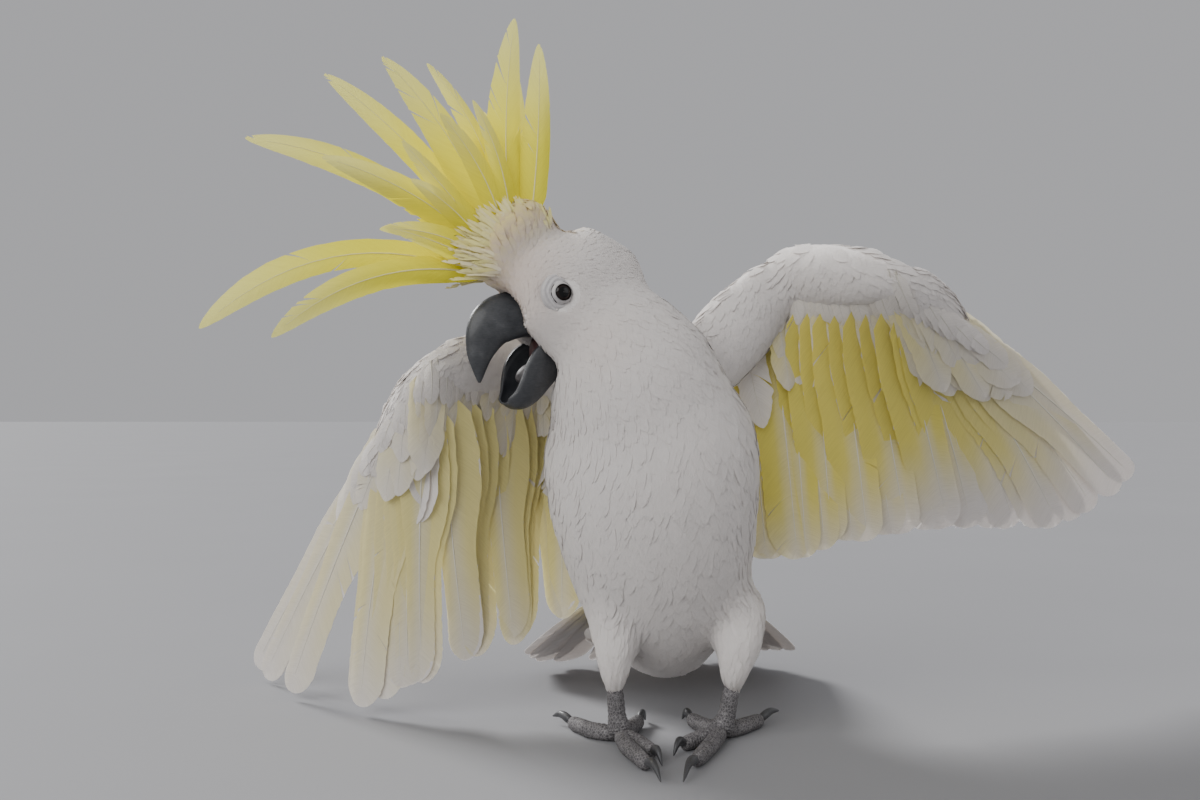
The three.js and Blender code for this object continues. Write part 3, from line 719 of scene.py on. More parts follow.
def region_flow(region, places):
    """The way that feathers lie in each region."""
    if region in ("head", "puff"):
        crest_line = along_points([p[0] for p in PUFF], np.linspace(0, 1, 24))
        away = np.linalg.norm(places[:, None] - crest_line[None], axis=2).min(axis=1)
        raised = (1 - smooth_step(away, 12, 34))[:, None]
        swept = unit(-FACING * 0.9 - UP * 0.3)
        outward = unit(places - head_place(2, 240)) + UP * 0.35
        return unit(swept * (1 - raised) + outward * raised)
    if region == "neck":
        return np.tile(unit(np.array([44.0, 4.0, -64.0])), (len(places), 1))
    if region == "thighs":
        return np.tile(unit(np.array([0.0, -0.15, -1.0])), (len(places), 1))
    if region == "trunk":
        line = np.array(TRUNK_LINE, dtype=float)
        share = np.clip((line[0, 2] - places[:, 2]) / (line[0, 2] - line[-1, 2]), 0, 1)
        return unit(step_along(line, share, 0.03))
    wing = WINGS[region]
    shoulder, wrist, hand_end = [np.array(wing[k], float) for k in ("shoulder", "wrist", "hand_end")]
    span = hand_end - shoulder
    outward = np.clip(((places - shoulder) @ unit(span)) / np.linalg.norm(span), 0, 1)
    number = (1 - outward) * (WING_FEATHERS - 1)
    toward = np.array([flight_tip(wing, n) - flight_root(wing, n) for n in number])
    return unit(unit(toward) + unit(hand_end - wrist) * 0.25)


SKIN = {}  # what the coat needs to know of the finished skin
SKIN_SHADE = 0.92  # the skin's brightness under the plumage


def build_skin():
    shapes = region_shapes()
    points, triangles = merged(list(shapes.values()))
    rough = add_mesh("skin_rough", points, [triangles])
    remesh = rough.modifiers.new("Remesh", "REMESH")
    remesh.mode = "VOXEL"
    remesh.voxel_size = settings().skin_voxel
    mesh = bpy.data.meshes.new_from_object(rough.evaluated_get(bpy.context.evaluated_depsgraph_get()))
    bpy.data.objects.remove(rough)
    points = in_bird(read(mesh.vertices, "co", 3))
    edges = read(mesh.edges, "vertices", 2, np.int32)
    degree = np.maximum(np.bincount(edges.ravel(), minlength=len(points)), 1)
    distance = np.stack([Surface(*shapes[r]).nearest(points)[3] for r in REGIONS], axis=1)
    weight = (distance == distance.min(axis=1, keepdims=True)).astype(float)
    for _ in range(14):
        weight = 0.4 * weight + 0.6 * neighbours_mean(weight, edges, degree)
    for _ in range(16):
        points = 0.5 * points + 0.5 * neighbours_mean(points, edges, degree)
    flow = np.zeros_like(points)
    for i, region in enumerate(REGIONS):
        chosen = weight[:, i] > 0.01
        flow[chosen] += region_flow(region, points[chosen]) * weight[chosen, i:i + 1]
    for _ in range(6):
        flow = 0.4 * flow + 0.6 * neighbours_mean(flow, edges, degree)
    write_places(mesh, points)
    mesh.update()
    normals = read(mesh.vertices, "normal", 3)
    for _ in range(8):
        normals = unit(0.4 * normals + 0.6 * neighbours_mean(normals, edges, degree))
    depth = weight @ np.array([REGIONS[r]["depth"] for r in REGIONS])
    points = points - normals * depth[:, None]
    write_places(mesh, points)
    mesh.polygons.foreach_set("use_smooth", np.ones(len(mesh.polygons), dtype=bool))
    write_tint(mesh, np.tile(np.array(settings().white) * SKIN_SHADE, (len(points), 1)))
    obj = new_object("skin", mesh)
    unwrap(obj)
    mesh.calc_loop_triangles()
    triangles = read(mesh.loop_triangles, "vertices", 3, np.int32)
    loops = read(mesh.loop_triangles, "loops", 3, np.int32)
    SKIN.update(surface=Surface(points, triangles), weight=weight, flow=unit(flow), normal=normals,
                uv=read(mesh.uv_layers["OFBake"].data, "uv", 2)[loops])
    return obj


def unwrap(obj):
    bpy.context.view_layer.objects.active = obj
    obj.select_set(True)
    obj.data.uv_layers.new(name="OFBake")
    bpy.ops.object.mode_set(mode="EDIT")
    bpy.ops.mesh.select_all(action="SELECT")
    bpy.ops.uv.smart_project(angle_limit=math.radians(66), island_margin=0.003)
    bpy.ops.object.mode_set(mode="OBJECT")
    obj.select_set(False)


# ---- Body coat ----
SPARE_PLACES = 7  # places tried for each that is kept
EYE_CLEARING = 9.2  # how far from the middle of an eye the feathers start


def scattered(allowed, gap_at, rng):
    """Evenly spaced random places on the skin: face, corner weights and place of each."""
    surface = SKIN["surface"]
    corner = surface.points[surface.triangles]
    area = np.linalg.norm(np.cross(corner[:, 1] - corner[:, 0], corner[:, 2] - corner[:, 0]), axis=1) / 2
    gap = gap_at[surface.triangles].mean(axis=1)
    chance = area / gap**2 * allowed[surface.triangles].all(axis=1)
    count = int(chance.sum() * SPARE_PLACES)
    face = rng.choice(len(area), size=count, p=chance / chance.sum())
    a, b = np.sqrt(rng.random(count)), rng.random(count)
    weights = np.stack([1 - a, a * (1 - b), a * b], axis=1)
    places = (corner[face] * weights[:, :, None]).sum(axis=1)
    cell = gap.max()
    grid, kept = {}, []
    keys = np.floor(places / cell).astype(int)
    for i in range(count):
        x, y, z = keys[i]
        clear = gap[face[i]] ** 2
        near = [j for dx in (-1, 0, 1) for dy in (-1, 0, 1) for dz in (-1, 0, 1)
                for j in grid.get((x + dx, y + dy, z + dz), ())]
        if near and ((places[near] - places[i]) ** 2).sum(axis=1).min() < clear:
            continue
        grid.setdefault((x, y, z), []).append(i)
        kept.append(i)
    kept = np.array(kept)
    return face[kept], weights[kept], places[kept]


def at_roots(values, face, weights):
    return (values[SKIN["surface"].triangles[face]] * weights[:, :, None]).sum(axis=1)


def on_skin(places):
    """The skin's nearest points with its smooth normals there."""
    surface = SKIN["surface"]
    spots, _, faces, _ = surface.nearest(places)
    return spots, unit(SKIN["normal"][surface.triangles[faces]].mean(axis=1))


def eye_distance(points):
    """How far each point is from the nearer eye."""
    return np.minimum(*[np.linalg.norm(points - head_place(EYE_AHEAD, EYE_HEIGHT, aside), axis=1)
                        for aside in (EYE_ASIDE, -EYE_ASIDE)])


def keep_clear():
    """True where skin may bear feathers: clear of the eyes."""
    return eye_distance(SKIN["surface"].points) > EYE_CLEARING


# painted shade: a peach-mauve tint laid on the cheek, the brow and the puff
PAINTED_SHADE_TINT = np.array([0.80, 0.62, 0.50])
PUFF_FLUSH = np.array([0.94, 0.83, 0.30])


def coat_colour(roots, loose, rng):
    """White plumage with painted shade, a warm tint on the cheek, the brow and the puff, whose tips are
    flushed with yellow.
    """
    cheek = np.exp(-(np.linalg.norm(roots - head_place(-16, 226, 24), axis=1) / 17) ** 2)
    brow = np.exp(-(np.linalg.norm(roots - head_place(25, 253), axis=1) / 24) ** 2)
    shade = rng.uniform(0.985, 1.01, len(roots))

    def colour(number, across, lead):
        white = np.array(settings().white)
        # painted shade, strongest on the puff, then the brow and the cheek
        painted_shade = cheek[number] * 0.16 + np.maximum(loose[number] * 0.8, brow[number] * 0.6)
        painted_shade = np.clip(painted_shade, 0, 1)[..., None]
        flush = (loose[number] * smooth_step(lead, 0.2, 1.0) * 0.75)[..., None]
        base = white * (1 - painted_shade) + PAINTED_SHADE_TINT * painted_shade
        return (base * (1 - flush) + PUFF_FLUSH * flush) * shade[number][..., None]
    return colour


def coat(name, region, strips, seed):
    """Contour feathers over one region of the skin."""
    rng = np.random.default_rng(seed)
    names = list(REGIONS)
    weight = SKIN["weight"]
    keys = ("length", "width", "gap", "lift", "cup")
    table = {key: weight @ np.array([REGIONS[r][key] for r in names]) for key in keys}
    points = SKIN["surface"].points
    bill = np.linalg.norm(points - head_place(14, 228), axis=1)
    small = 0.45 + 0.55 * smooth_step(np.minimum(eye_distance(points) - 9, bill - 12), 0, 20)
    shin = weight[:, names.index("thighs")] * (1 - smooth_step(points[:, 2], 22, 46))
    table["length"] = table["length"] * (1 + 0.9 * shin)
    allowed = keep_clear() & (weight[:, names.index(region)] > (0.2 if region == "puff" else 0.5))
    face, corner_weights, roots = scattered(allowed, table["gap"] * np.maximum(small, 0.6), rng)
    sizes = {}
    for key, value in table.items():
        value = value if key == "cup" else value * small
        sizes[key] = at_roots(value[:, None], face, corner_weights)[:, 0]
    flow = at_roots(SKIN["flow"], face, corner_weights)
    normal = unit(at_roots(SKIN["normal"], face, corner_weights))
    flow = unit(flow - normal * (flow * normal).sum(axis=1, keepdims=True))
    side = np.cross(flow, normal)
    flow = unit(flow + side * rng.normal(0, 0.09, (len(roots), 1)))
    length = (sizes["length"] * rng.uniform(0.85, 1.15, len(roots)))[:, None]
    middle, middle_normal = on_skin(roots + flow * length * 0.5)
    end, end_normal = on_skin(middle + (middle - roots))
    loose = at_roots(weight[:, [names.index("puff")]], face, corner_weights)[:, 0]
    lift = (sizes["lift"] * (1 + rng.uniform(-0.05, 0.05, len(roots)) * (1 + 8 * loose)))[:, None]
    base = roots - normal * 0.4
    tip = end + unit(end_normal + middle_normal) * lift
    through = middle + middle_normal * lift * 0.72
    bend = 2 * through - (base + tip) / 2
    half = sizes["width"] * rng.uniform(0.85, 1.15, len(roots)) / 2
    colour = coat_colour(roots, loose, rng)
    parts = [vanes(base, bend, tip, middle_normal, even(half), strips, 2, rng, quill=0.1, fray=0.06,
                   cup=sizes["cup"], slant=44, blunt=2.8, taper=(1.8, 0.65), colour=colour, split=0.1,
                   opening=0.03)]
    uv = (SKIN["uv"][face] * corner_weights[:, :, None]).sum(axis=1)
    return feather_object(name, parts, len(roots), uv, (normal, unit(middle_normal + end_normal)))


# ---- Wings, tail and crest ----
def flight_root(wing, number):
    wrist_number = PRIMARY_COUNT - 0.5
    points = {k: np.array(wing[k], float) for k in ("shoulder", "elbow", "wrist", "hand_end")}
    if number < wrist_number:
        return mix(points["hand_end"], points["wrist"], number / wrist_number)
    if number < ELBOW_FEATHER:
        share = (number - wrist_number) / (ELBOW_FEATHER - wrist_number)
        return mix(points["wrist"], points["elbow"], share)
    return mix(points["elbow"], points["shoulder"], TERTIAL_STEP * (number - ELBOW_FEATHER))


def flight_tip(wing, number):
    last = PRIMARY_COUNT - 1
    spread = wing["spread"]
    if number >= last:
        share = mix(spread[last], 1.0, (number - last) / (WING_FEATHERS - 1 - last))
    else:
        before = max(0, int(number))
        share = mix(spread[before], spread[before + 1], number - before)
    return along_points(wing["tips"], float(share))


FLIGHT_SHARE = 0.65  # where along its length a flight feather lies in the wing's surface


def clumped(wing, number):
    """Feather numbers drawn together in small groups, as the vanes cling to each other."""
    first, size, amount = wing["clump"]
    if number < first:
        return number
    centre = first + (number - first) // size * size + (size - 1) / 2
    return min(mix(number, centre, amount), WING_FEATHERS - 1)


def wing_face(wing, number, outward):
    """The under side's direction at a feather, at a share of its length."""
    before, after = max(number - 1, 0), min(number + 1, WING_FEATHERS - 1)
    step = mix(flight_root(wing, after) - flight_root(wing, before),
               flight_tip(wing, after) - flight_tip(wing, before), outward)
    face = unit(np.cross(flight_tip(wing, number) - flight_root(wing, number), step))
    face = face if face[1] < 0 else -face
    twist = mix(*wing["twist"], float(smooth_step(number, 6, 14))) * outward / FLIGHT_SHARE
    return unit(face * (1 - twist) - np.array([0, twist, 0]))


def wash_colour(strength, fade_from, fade_to, reach=0.0):
    """White vanes with a yellow wash that fades towards the tip, reach later on the inner feathers."""
    def colour(number, across, lead):
        white, wash = np.array(settings().white), np.array(settings().wash)
        later = reach * smooth_step(number, 7, WING_FEATHERS - 4)
        amount = strength[number] * (1 - smooth_step(lead - later, fade_from, fade_to))
        amount = amount * (0.55 + 0.45 * smooth_step(np.abs(across), 0.0, 0.5))
        return white * (1 - amount[..., None]) + wash * amount[..., None]
    return colour


UPPER_SIDE = 0.45  # the white upper side of a flight feather over its washed under side
UPPER_WIDTH = 0.985  # its share of the under side's width
TIP_JITTER = np.array([1.6, 0.3, 2.0])  # spread of the flight feathers' tips
FLIGHT_SHAFT = (0.93, 0.90, 0.80)
COVERT_SHAFT = (0.78, 0.75, 0.66)
TAIL_SHAFT = (0.93, 0.90, 0.82)
TAIL_COVERT_SHAFT = (0.88, 0.85, 0.80)
CREST_SHAFT = (0.97, 0.93, 0.50)
CREST_PALE = np.array([0.94, 0.92, 0.52])
# the plumes' white, warmed by a painted peach shade
PLUME_SHADED_WHITE = np.array([0.84, 0.75, 0.68])
PLUME_YELLOW = np.array([0.93, 0.86, 0.34])


def flight_feathers(name):
    wing = WINGS[name]
    rng = np.random.default_rng(11 if name == "wing_left" else 12)
    numbers = np.arange(WING_FEATHERS)
    roots = np.array([flight_root(wing, n) for n in numbers])
    tips = np.array([flight_tip(wing, clumped(wing, n)) for n in numbers])
    tips = tips + rng.normal(0, 1, (WING_FEATHERS, 3)) * TIP_JITTER
    faces = np.array([wing_face(wing, n, FLIGHT_SHARE) for n in numbers])
    outer = numbers < PRIMARY_COUNT
    depth = (numbers / WING_FEATHERS * 4.4 - 2.2)[:, None]
    sweep = unit(np.cross(faces, tips - roots))
    toward_outer = np.sign((sweep * (tips[0] - tips[-1])).sum(axis=1))[:, None]
    arch = np.where(outer, 7.0, 3.0)[:, None]
    bend = (roots + tips) / 2 + np.array([0, 7.0, 0]) + sweep * toward_outer * arch
    roots, bend, tips = [p - faces * depth for p in (roots, bend, tips)]
    tips[:, 2] = np.maximum(tips[:, 2], 3.0)
    narrow = np.interp(numbers, [0, 5, 10], [10, 11, 12])
    broad = np.interp(numbers, [0, 1, 3, 6], [16, 18, 19, 20])
    outer_is_plus = (np.cross(tips - roots, faces) * (tips[0] - tips[-1])).sum(axis=1) > 0
    sides = np.stack([narrow, broad], axis=1)
    widths = np.where(outer_is_plus[:, None], sides[:, ::-1], sides)
    tilt = np.where(outer_is_plus, -1, 1) * math.radians(2)
    strength = np.interp(numbers, [0, 1, 3, 8, WING_FEATHERS], [0.25, 0.4, 0.75, 0.95, 1.0])
    strips = settings().barbs
    waist = mix(*wing["waist"], smooth_step(numbers, 3, 9))
    look = {"quill": 0.06, "fray": 0.015, "cup": 0.03, "tilt": tilt, "waist": waist, "split": 0.012,
            "opening": 0.01, "foot_width": 0.75}
    wash = wash_colour(strength * wing["wash"], *wing["fade"], 0.22)
    above = [p - faces * UPPER_SIDE for p in (roots, bend, tips)]
    parts = [vanes(roots, bend, tips, faces, widths, strips, 5, rng, colour=wash, **look),
             shafts(roots, bend, tips, faces, np.full(WING_FEATHERS, 0.7), FLIGHT_SHAFT),
             vanes(*above, faces, widths * UPPER_WIDTH, strips, 2, rng, **look)]
    return feather_object(name + "_flight_feathers", parts, WING_FEATHERS)


COVERT_LEAN = 1.5  # coverts point outward of the flight feathers they cover, by this many feathers
# what all coverts share
COVERT_LOOK = {"quill": 0.04, "fray": 0.035, "slant": 44, "blunt": 2.2, "taper": (1.8, 0.65),
               "foot_width": 0.8, "split": 0.04}
COVERT_SHAFT_STEPS = 8


def covert_row(name, label, side, shares, count, width, off, wash, seed):
    """A row of covert feathers: side +1 lies on the under side, -1 on the back.  shares are the
    lengths over the flight feathers' at the hand's end, the wrist and the body; wash goes with them."""
    wing = WINGS[name]
    rng = np.random.default_rng(seed)
    numbers = np.linspace(0, WING_FEATHERS - (3 if side > 0 else 1), count)
    roots = np.array([flight_root(wing, n) for n in numbers])
    tips = np.array([flight_tip(wing, max(n - COVERT_LEAN, 0)) for n in numbers])
    faces = np.array([wing_face(wing, n, shares[1] * 0.6) for n in numbers]) * side
    stops = [0, PRIMARY_COUNT, WING_FEATHERS - 1]
    share = np.interp(numbers, stops, shares)[:, None] * rng.uniform(0.9, 1.1, (count, 1))
    along = unit(tips - roots)
    base = roots + faces * off * 0.3 - along * 7
    tip = roots + (tips - roots) * share + faces * (off * 0.4 + 1.0) + rng.normal(0, 1.0, (count, 3))
    bend = (base + tip) / 2 + faces * (off * 0.45 + 1.5)
    half = width / 2 * rng.uniform(0.9, 1.1, count)
    strength = np.interp(numbers, stops, wash) * wing["wash"] * rng.uniform(0.75, 1.15, count)
    tilt = side * math.radians(4) * np.ones(count)
    wash = wash_colour(strength, 0.35, 1.25)
    parts = [vanes(base, bend, tip, faces, even(half), 22, 3, rng, cup=0.1, tilt=tilt, colour=wash,
                   **COVERT_LOOK),
             shafts(base, bend, tip, faces, np.full(count, 0.4), COVERT_SHAFT, COVERT_SHAFT_STEPS)]
    return feather_object(f"{name}_{label}", parts, count)


def tail_feathers():
    rng = np.random.default_rng(31)
    share = np.arange(TAIL_FEATHER_COUNT) / (TAIL_FEATHER_COUNT - 1)
    roots = TAIL_ROOT + np.stack([28 * (share - 0.5), 0 * share, 0 * share], axis=1)
    tips = along_points(TAIL_TIPS, share)
    faces = unit(np.cross(tips - roots, step_along(TAIL_TIPS, share, 0.05)))
    faces *= np.where(faces[:, 2:3] > 0, 1, -1)
    stack = (1 - np.abs(share - 0.5) * 2)[:, None] * 3.0
    bend = (roots + tips) / 2 + np.array([0, 2.0, 7.0]) + faces * stack * 0.6
    tips = tips + faces * stack * 0.4
    tips[:, 2] = np.maximum(tips[:, 2], 2.5)
    widths = np.tile([[13.0, 13.0]], (TAIL_FEATHER_COUNT, 1))
    tilt = np.where(share < 0.5, 1, -1) * math.radians(5)
    wash = wash_colour(np.full(TAIL_FEATHER_COUNT, 0.55), 0.3, 0.7)
    look = {"quill": 0.1, "fray": 0.02, "cup": 0.06, "tilt": tilt, "split": 0.04, "opening": 0.012}
    strips = settings().barbs
    under = [p - faces * UPPER_SIDE for p in (roots, bend, tips)]
    parts = [vanes(roots, bend, tips, faces, widths, strips, 4, rng, **look),
             vanes(*under, faces, widths * UPPER_WIDTH, strips, 2, rng, colour=wash, **look),
             shafts(roots, bend, tips, faces, np.full(TAIL_FEATHER_COUNT, 0.9), TAIL_SHAFT)]
    return feather_object("tail_feathers", parts, TAIL_FEATHER_COUNT)


def tail_coverts():
    """Coverts over the root of the tail, and those under it that grow from the vent."""
    rng = np.random.default_rng(32)
    # where each row starts, its spread, its reach along the tail, the height of its tips and its side
    rows = [(TAIL_ROOT + UP * 9, 40, 0.48, 8, 1)]
    for down in (0.2, 0.4, 0.6, 0.8, 1.0):
        start = mix(TAIL_ROOT - UP * 6, VENT, down)
        rows.append((start, mix(46, 36, down), mix(0.5, 0.56, down), -5 - 4 * down, -1))
    parts, total = [], 0
    for start, spread, reach, height, side in rows:
        count = TAIL_COVERT_COUNT
        share = np.linspace(0.04, 0.96, count)
        roots = start + np.stack([spread * (share - 0.5), 0 * share - 8, 0 * share], axis=1)
        fan = along_points(TAIL_TIPS, share) - TAIL_ROOT
        ends = TAIL_ROOT + fan * reach * rng.uniform(0.9, 1.1, (count, 1))
        tips = ends + UP * height
        bend = (roots + tips) / 2 + UP * side * 5
        aside = (share * 2 - 1)[:, None]
        faces = unit(UP * side + LEFTWARD * aside * 1.4 + rng.normal(0, 0.08, (count, 3)))
        half = 12.0 * rng.uniform(0.9, 1.1, count)
        row = [vanes(roots, bend, tips, faces, even(half), 20, 3, rng, cup=0.12, **COVERT_LOOK),
               shafts(roots, bend, tips, faces, np.full(count, 0.4), TAIL_COVERT_SHAFT, COVERT_SHAFT_STEPS)]
        for part in row:
            part["number"] = part["number"] + total
        parts += row
        total += count
    return feather_object("tail_coverts", parts, total)


def crest_points(root, leave, end, length, lean):
    """Places along a crest feather whose heading turns evenly from its root to its tip."""
    arc, steps = CREST_ARC, CREST_STEPS
    turn = math.radians(mix(arc["from"], arc["to"], root))
    ahead = arc["ahead"] + arc["radius"] * math.cos(turn)
    height = arc["height"] + arc["radius"] * math.sin(turn)
    points = []
    for i in range(steps + 1):
        points.append(head_place(ahead, height, lean * (0.4 + 1.6 * i / steps)))
        heading = math.radians(mix(leave, end, (i + 0.5) / steps))
        ahead += length / steps * math.cos(heading)
        height += length / steps * math.sin(heading)
    return np.array(points)


def crest_feathers():
    rng = np.random.default_rng(41)
    plans = list(CREST)
    for i in range(CREST_FILLERS):
        root = 0.06 + 0.9 * i / (CREST_FILLERS - 1)
        leave, end = mix(22, 94, root) + rng.normal(0, 6), mix(-20, 84, root) + rng.normal(0, 10)
        plans.append((root, leave, end, rng.uniform(48, 76), 15, rng.choice([-8, 8])))
    lines = [crest_points(p[0], p[1], p[2], p[3], p[5]) for p in plans]
    base = np.array([line[0] for line in lines])
    tip = np.array([line[-1] for line in lines])
    through = np.array([along_points(line, 0.5) for line in lines])
    bend = 2 * through - (base + tip) / 2
    half = np.array([p[4] for p in plans]) * CREST_WIDTH_SHARE / 2
    faces = np.tile(HEAD_SIDE, (len(plans), 1)) + rng.normal(0, 0.12, (len(plans), 3))
    faces = unit(faces)

    def colour(number, across, lead):
        amount = smooth_step(lead, 0.4, 1.0)[..., None] * 0.5
        return np.array(settings().crest) * (1 - amount) + CREST_PALE * amount

    tilt = rng.normal(0, 0.3, len(plans))
    parts = [vanes(base, bend, tip, faces, even(half), 44, 4, rng, quill=0.0, fray=0.012, cup=0.45, tilt=tilt,
                   slant=32, blunt=8, taper=(1.9, 0.62), foot_width=0.65, colour=colour, split=0.05,
                   opening=0.015),
             shafts(base, bend, tip, faces, np.full(len(plans), 0.55), CREST_SHAFT)]
    return feather_object("crest_feathers", parts, len(plans))


def crest_plumes():
    """Short soft plumes round the roots of the crest, off-white with a painted peach shade and flushed with
    yellow.
    """
    rng = np.random.default_rng(42)
    count = PLUME_COUNT
    root = rng.uniform(0.02, 1.1, count)
    lines = [crest_points(r, mix(18, 92, r) + rng.normal(0, 11), mix(-6, 88, r) + rng.normal(0, 16),
                          mix(21, 12, r) * rng.uniform(0.4, 1.5), 0.0) for r in root]
    aside = HEAD_SIDE * rng.uniform(-9, 9, (count, 1))
    base = np.array([line[0] for line in lines]) + aside * 0.7 - FACING * 8
    tip = np.array([line[-1] for line in lines]) + aside * 1.2
    bend = (base + tip) / 2 + aside * 0.35 + UP * 2
    hand = np.sign((aside * HEAD_SIDE).sum(axis=1))[:, None]
    faces = unit(HEAD_SIDE * hand + rng.normal(0, 0.35, (count, 3)))
    half = rng.uniform(0.6, 1.3, count)
    flush = rng.uniform(0.5, 1.0, count)

    def colour(number, across, lead):
        amount = (flush[number] * smooth_step(lead, 0.0, 0.8))[..., None]
        return PLUME_SHADED_WHITE * (1 - amount) + PLUME_YELLOW * amount

    parts = [vanes(base, bend, tip, faces, even(half), 5, 1, rng, quill=0.0, fray=0.1, cup=0.2,
                   slant=34, blunt=5, taper=(1.6, 0.7), colour=colour, split=0.3, opening=0.05)]
    outward = unit(faces + unit(tip - head_place(6, 262)) * 0.8)
    return feather_object("crest_plumes", parts, count, lay=(outward, outward))


# ---- Head's hard parts ----
def upper_bill():
    stations = [(head_place(2, 231), 11, 12), (head_place(17, 234), 10.5, 14), (head_place(31, 229), 8.5, 14),
                (head_place(38, 216), 5.5, 9), (head_place(39.5, 199), 1.6, 1.8)]

    def reshape(share, turn, wide, deep):
        keel = np.clip(deep, 0, 1)
        under = np.clip(-deep, 0, 1)
        return wide * (1 - 0.22 * keel**2), deep * (1 + 0.04 * keel) * (1 - 0.25 * under**3)

    points, faces, uv = loft(stations, HEAD_SIDE, 56, 60, 4, reshape)
    return add_mesh("bill_upper_horn", points, faces, uv)


# The lower bill is a scoop.  At each place from the jaw to the tip: its keel and its cutting edge in
# the head's plane, each (ahead, height), its half width and the thickness of its wall.
SCOOP = [
    ((-6, 205), (4, 224), 9.5, 2.0), ((1, 197), (13, 218), 10.5, 2.0),
    ((7.5, 190), (18.3, 210.5), 10.5, 1.9), ((14, 185.8), (21, 202), 9.5, 1.8),
    ((20, 185), (23, 195), 7.5, 1.7), ((25.2, 187.6), (25.8, 190.5), 4.5, 1.2),
]
JAW_SLEW = math.tan(math.radians(17))  # the jaw is pushed a little to one side


def lower_bill():
    rings, half_count = 44, 26
    share = np.linspace(0, 1, rings)
    keel = along_points([(*k, 0) for k, _, _, _ in SCOOP], share)[:, :2]
    rim = along_points([(*r, 0) for _, r, _, _ in SCOOP], share)[:, :2]
    sizes = along_points([(half, wall, 0) for _, _, half, wall in SCOOP], share)
    turn = np.linspace(-1, 1, half_count) * math.pi / 2
    across = np.sign(turn) * np.abs(np.sin(turn)) ** 0.8
    rise = 1 - np.cos(turn) ** 0.9
    depth = np.linalg.norm(rim - keel, axis=1)
    points = []
    for i in range(rings):
        half, wall = sizes[i, 0], sizes[i, 1]
        upward = (rim[i] - keel[i]) / depth[i]
        outer = keel[i] + np.outer(rise * depth[i], upward)
        floor_share = min(wall / depth[i], 0.9)
        inner = keel[i] + np.outer((floor_share + (1 - floor_share) * rise) * depth[i], upward)
        for line, aside in ((outer, across * half), (inner[::-1], across[::-1] * max(half - wall, 0.3))):
            points.extend(head_place(p[0] - a * JAW_SLEW, p[1], a) for p, a in zip(line, aside))
    sides = half_count * 2
    quads, caps = tube_faces(rings, sides)
    across, ahead = np.linspace(0, 1, sides)[None, :], np.linspace(0, 1, rings)[:, None]
    uv = np.stack(np.broadcast_arrays(across, ahead), axis=-1).reshape(-1, 2)
    return add_mesh("bill_lower_horn", np.array(points), [quads] + caps, uv)


def mouth_lining():
    stations = [(head_place(-12, 214), 8, 12), (head_place(0, 215), 9.4, 13), (head_place(10, 214), 8.5, 11)]
    points, faces, uv = loft(stations, HEAD_SIDE, 36, 30, 3)
    return add_mesh("mouth_lining", points, faces, uv)


def tongue():
    stations = [(head_place(2, 208), 4.5, 4.5), (head_place(12, 205), 5, 4.4),
                (head_place(18, 200), 4.0, 3.4)]
    points, faces, uv = loft(stations, HEAD_SIDE, 32, 30, 3)
    return add_mesh("tongue_skin", points, faces, uv)


class COCKATOO_OT_skin(bpy.types.Operator):
    """One skin under the whole plumage, in place of the solids of flesh"""

    bl_idname = "cockatoo.skin"
    bl_label = "Skin"

    def execute(self, context):
        nodes = [n for plan in REGIONS.values() for n in plan["nodes"]]
        piece(build_skin(), tinted_skin_material("plumage_skin", **BODY_LOOK), "plumage", *nodes)
        return {"FINISHED"}


class COCKATOO_OT_coat(bpy.types.Operator):
    """Contour feathers over the skin"""

    bl_idname = "cockatoo.coat"
    bl_label = "Body Plumage"

    def execute(self, context):
        material = feather_material("contour_feathers", 0.85, 0.3, 0.3)
        # region, barb strips on each side of a feather, random seed
        plans = [("head", 5, 21), ("puff", 6, 27), ("neck", 7, 22), ("trunk", 6, 23), ("thighs", 5, 24),
                 ("wing_left", 6, 25), ("wing_right", 6, 26)]
        for region, strips, seed in plans:
            piece(coat("coat_" + region, region, strips, seed), material, "plumage")
        return {"FINISHED"}


class COCKATOO_OT_wings(bpy.types.Operator):
    """Flight feathers and coverts of both wings"""

    bl_idname = "cockatoo.wings"
    bl_label = "Wing Feathers"

    def execute(self, context):
        material = feather_material("flight_feathers", 0.7, 0.05, 0.4)
        for wing in WINGS:
            nodes = (wing + "_primaries", wing + "_secondaries")
            piece(flight_feathers(wing), material, "flight_feathers", *nodes)
            reach = WINGS[wing]["covert_reach"]
            # label, side, length shares, count, width, height over the wing and strength of the wash
            rows = [("under_greater_coverts", 1, (0.34, 0.38, 0.4), 24, 20, 5, (0.3, 0.7, 1)),
                    ("under_median_coverts", 1, (0.2, 0.25, 0.28), 28, 14, 8, (0.1, 0.4, 0.9)),
                    ("under_lesser_coverts", 1, (0.1, 0.14, 0.17), 44, 9, 11, (0, 0.05, 0.2)),
                    ("upper_greater_coverts", -1, (0.36, 0.42, 0.48), 24, 20, 5, (0, 0, 0)),
                    ("upper_median_coverts", -1, (0.22, 0.28, 0.32), 28, 15, 8, (0, 0, 0)),
                    ("upper_lesser_coverts", -1, (0.13, 0.17, 0.2), 44, 10, 11, (0, 0, 0))]
            for number, (label, side, shares, count, width, off, wash) in enumerate(rows):
                lengths = [share * reach if side > 0 else share for share in shares]
                row = covert_row(wing, label, side, lengths, count, width, off, wash, 51 + number)
                piece(row, material, "plumage")
        return {"FINISHED"}


class COCKATOO_OT_tail(bpy.types.Operator):
    """The fanned tail"""

    bl_idname = "cockatoo.tail"
    bl_label = "Tail"

    def execute(self, context):
        material = feather_material("tail_feathers", 0.7, 0.2, 0.4)
        piece(tail_feathers(), material, "plumage", "tail")
        piece(tail_coverts(), material, "plumage")
        return {"FINISHED"}


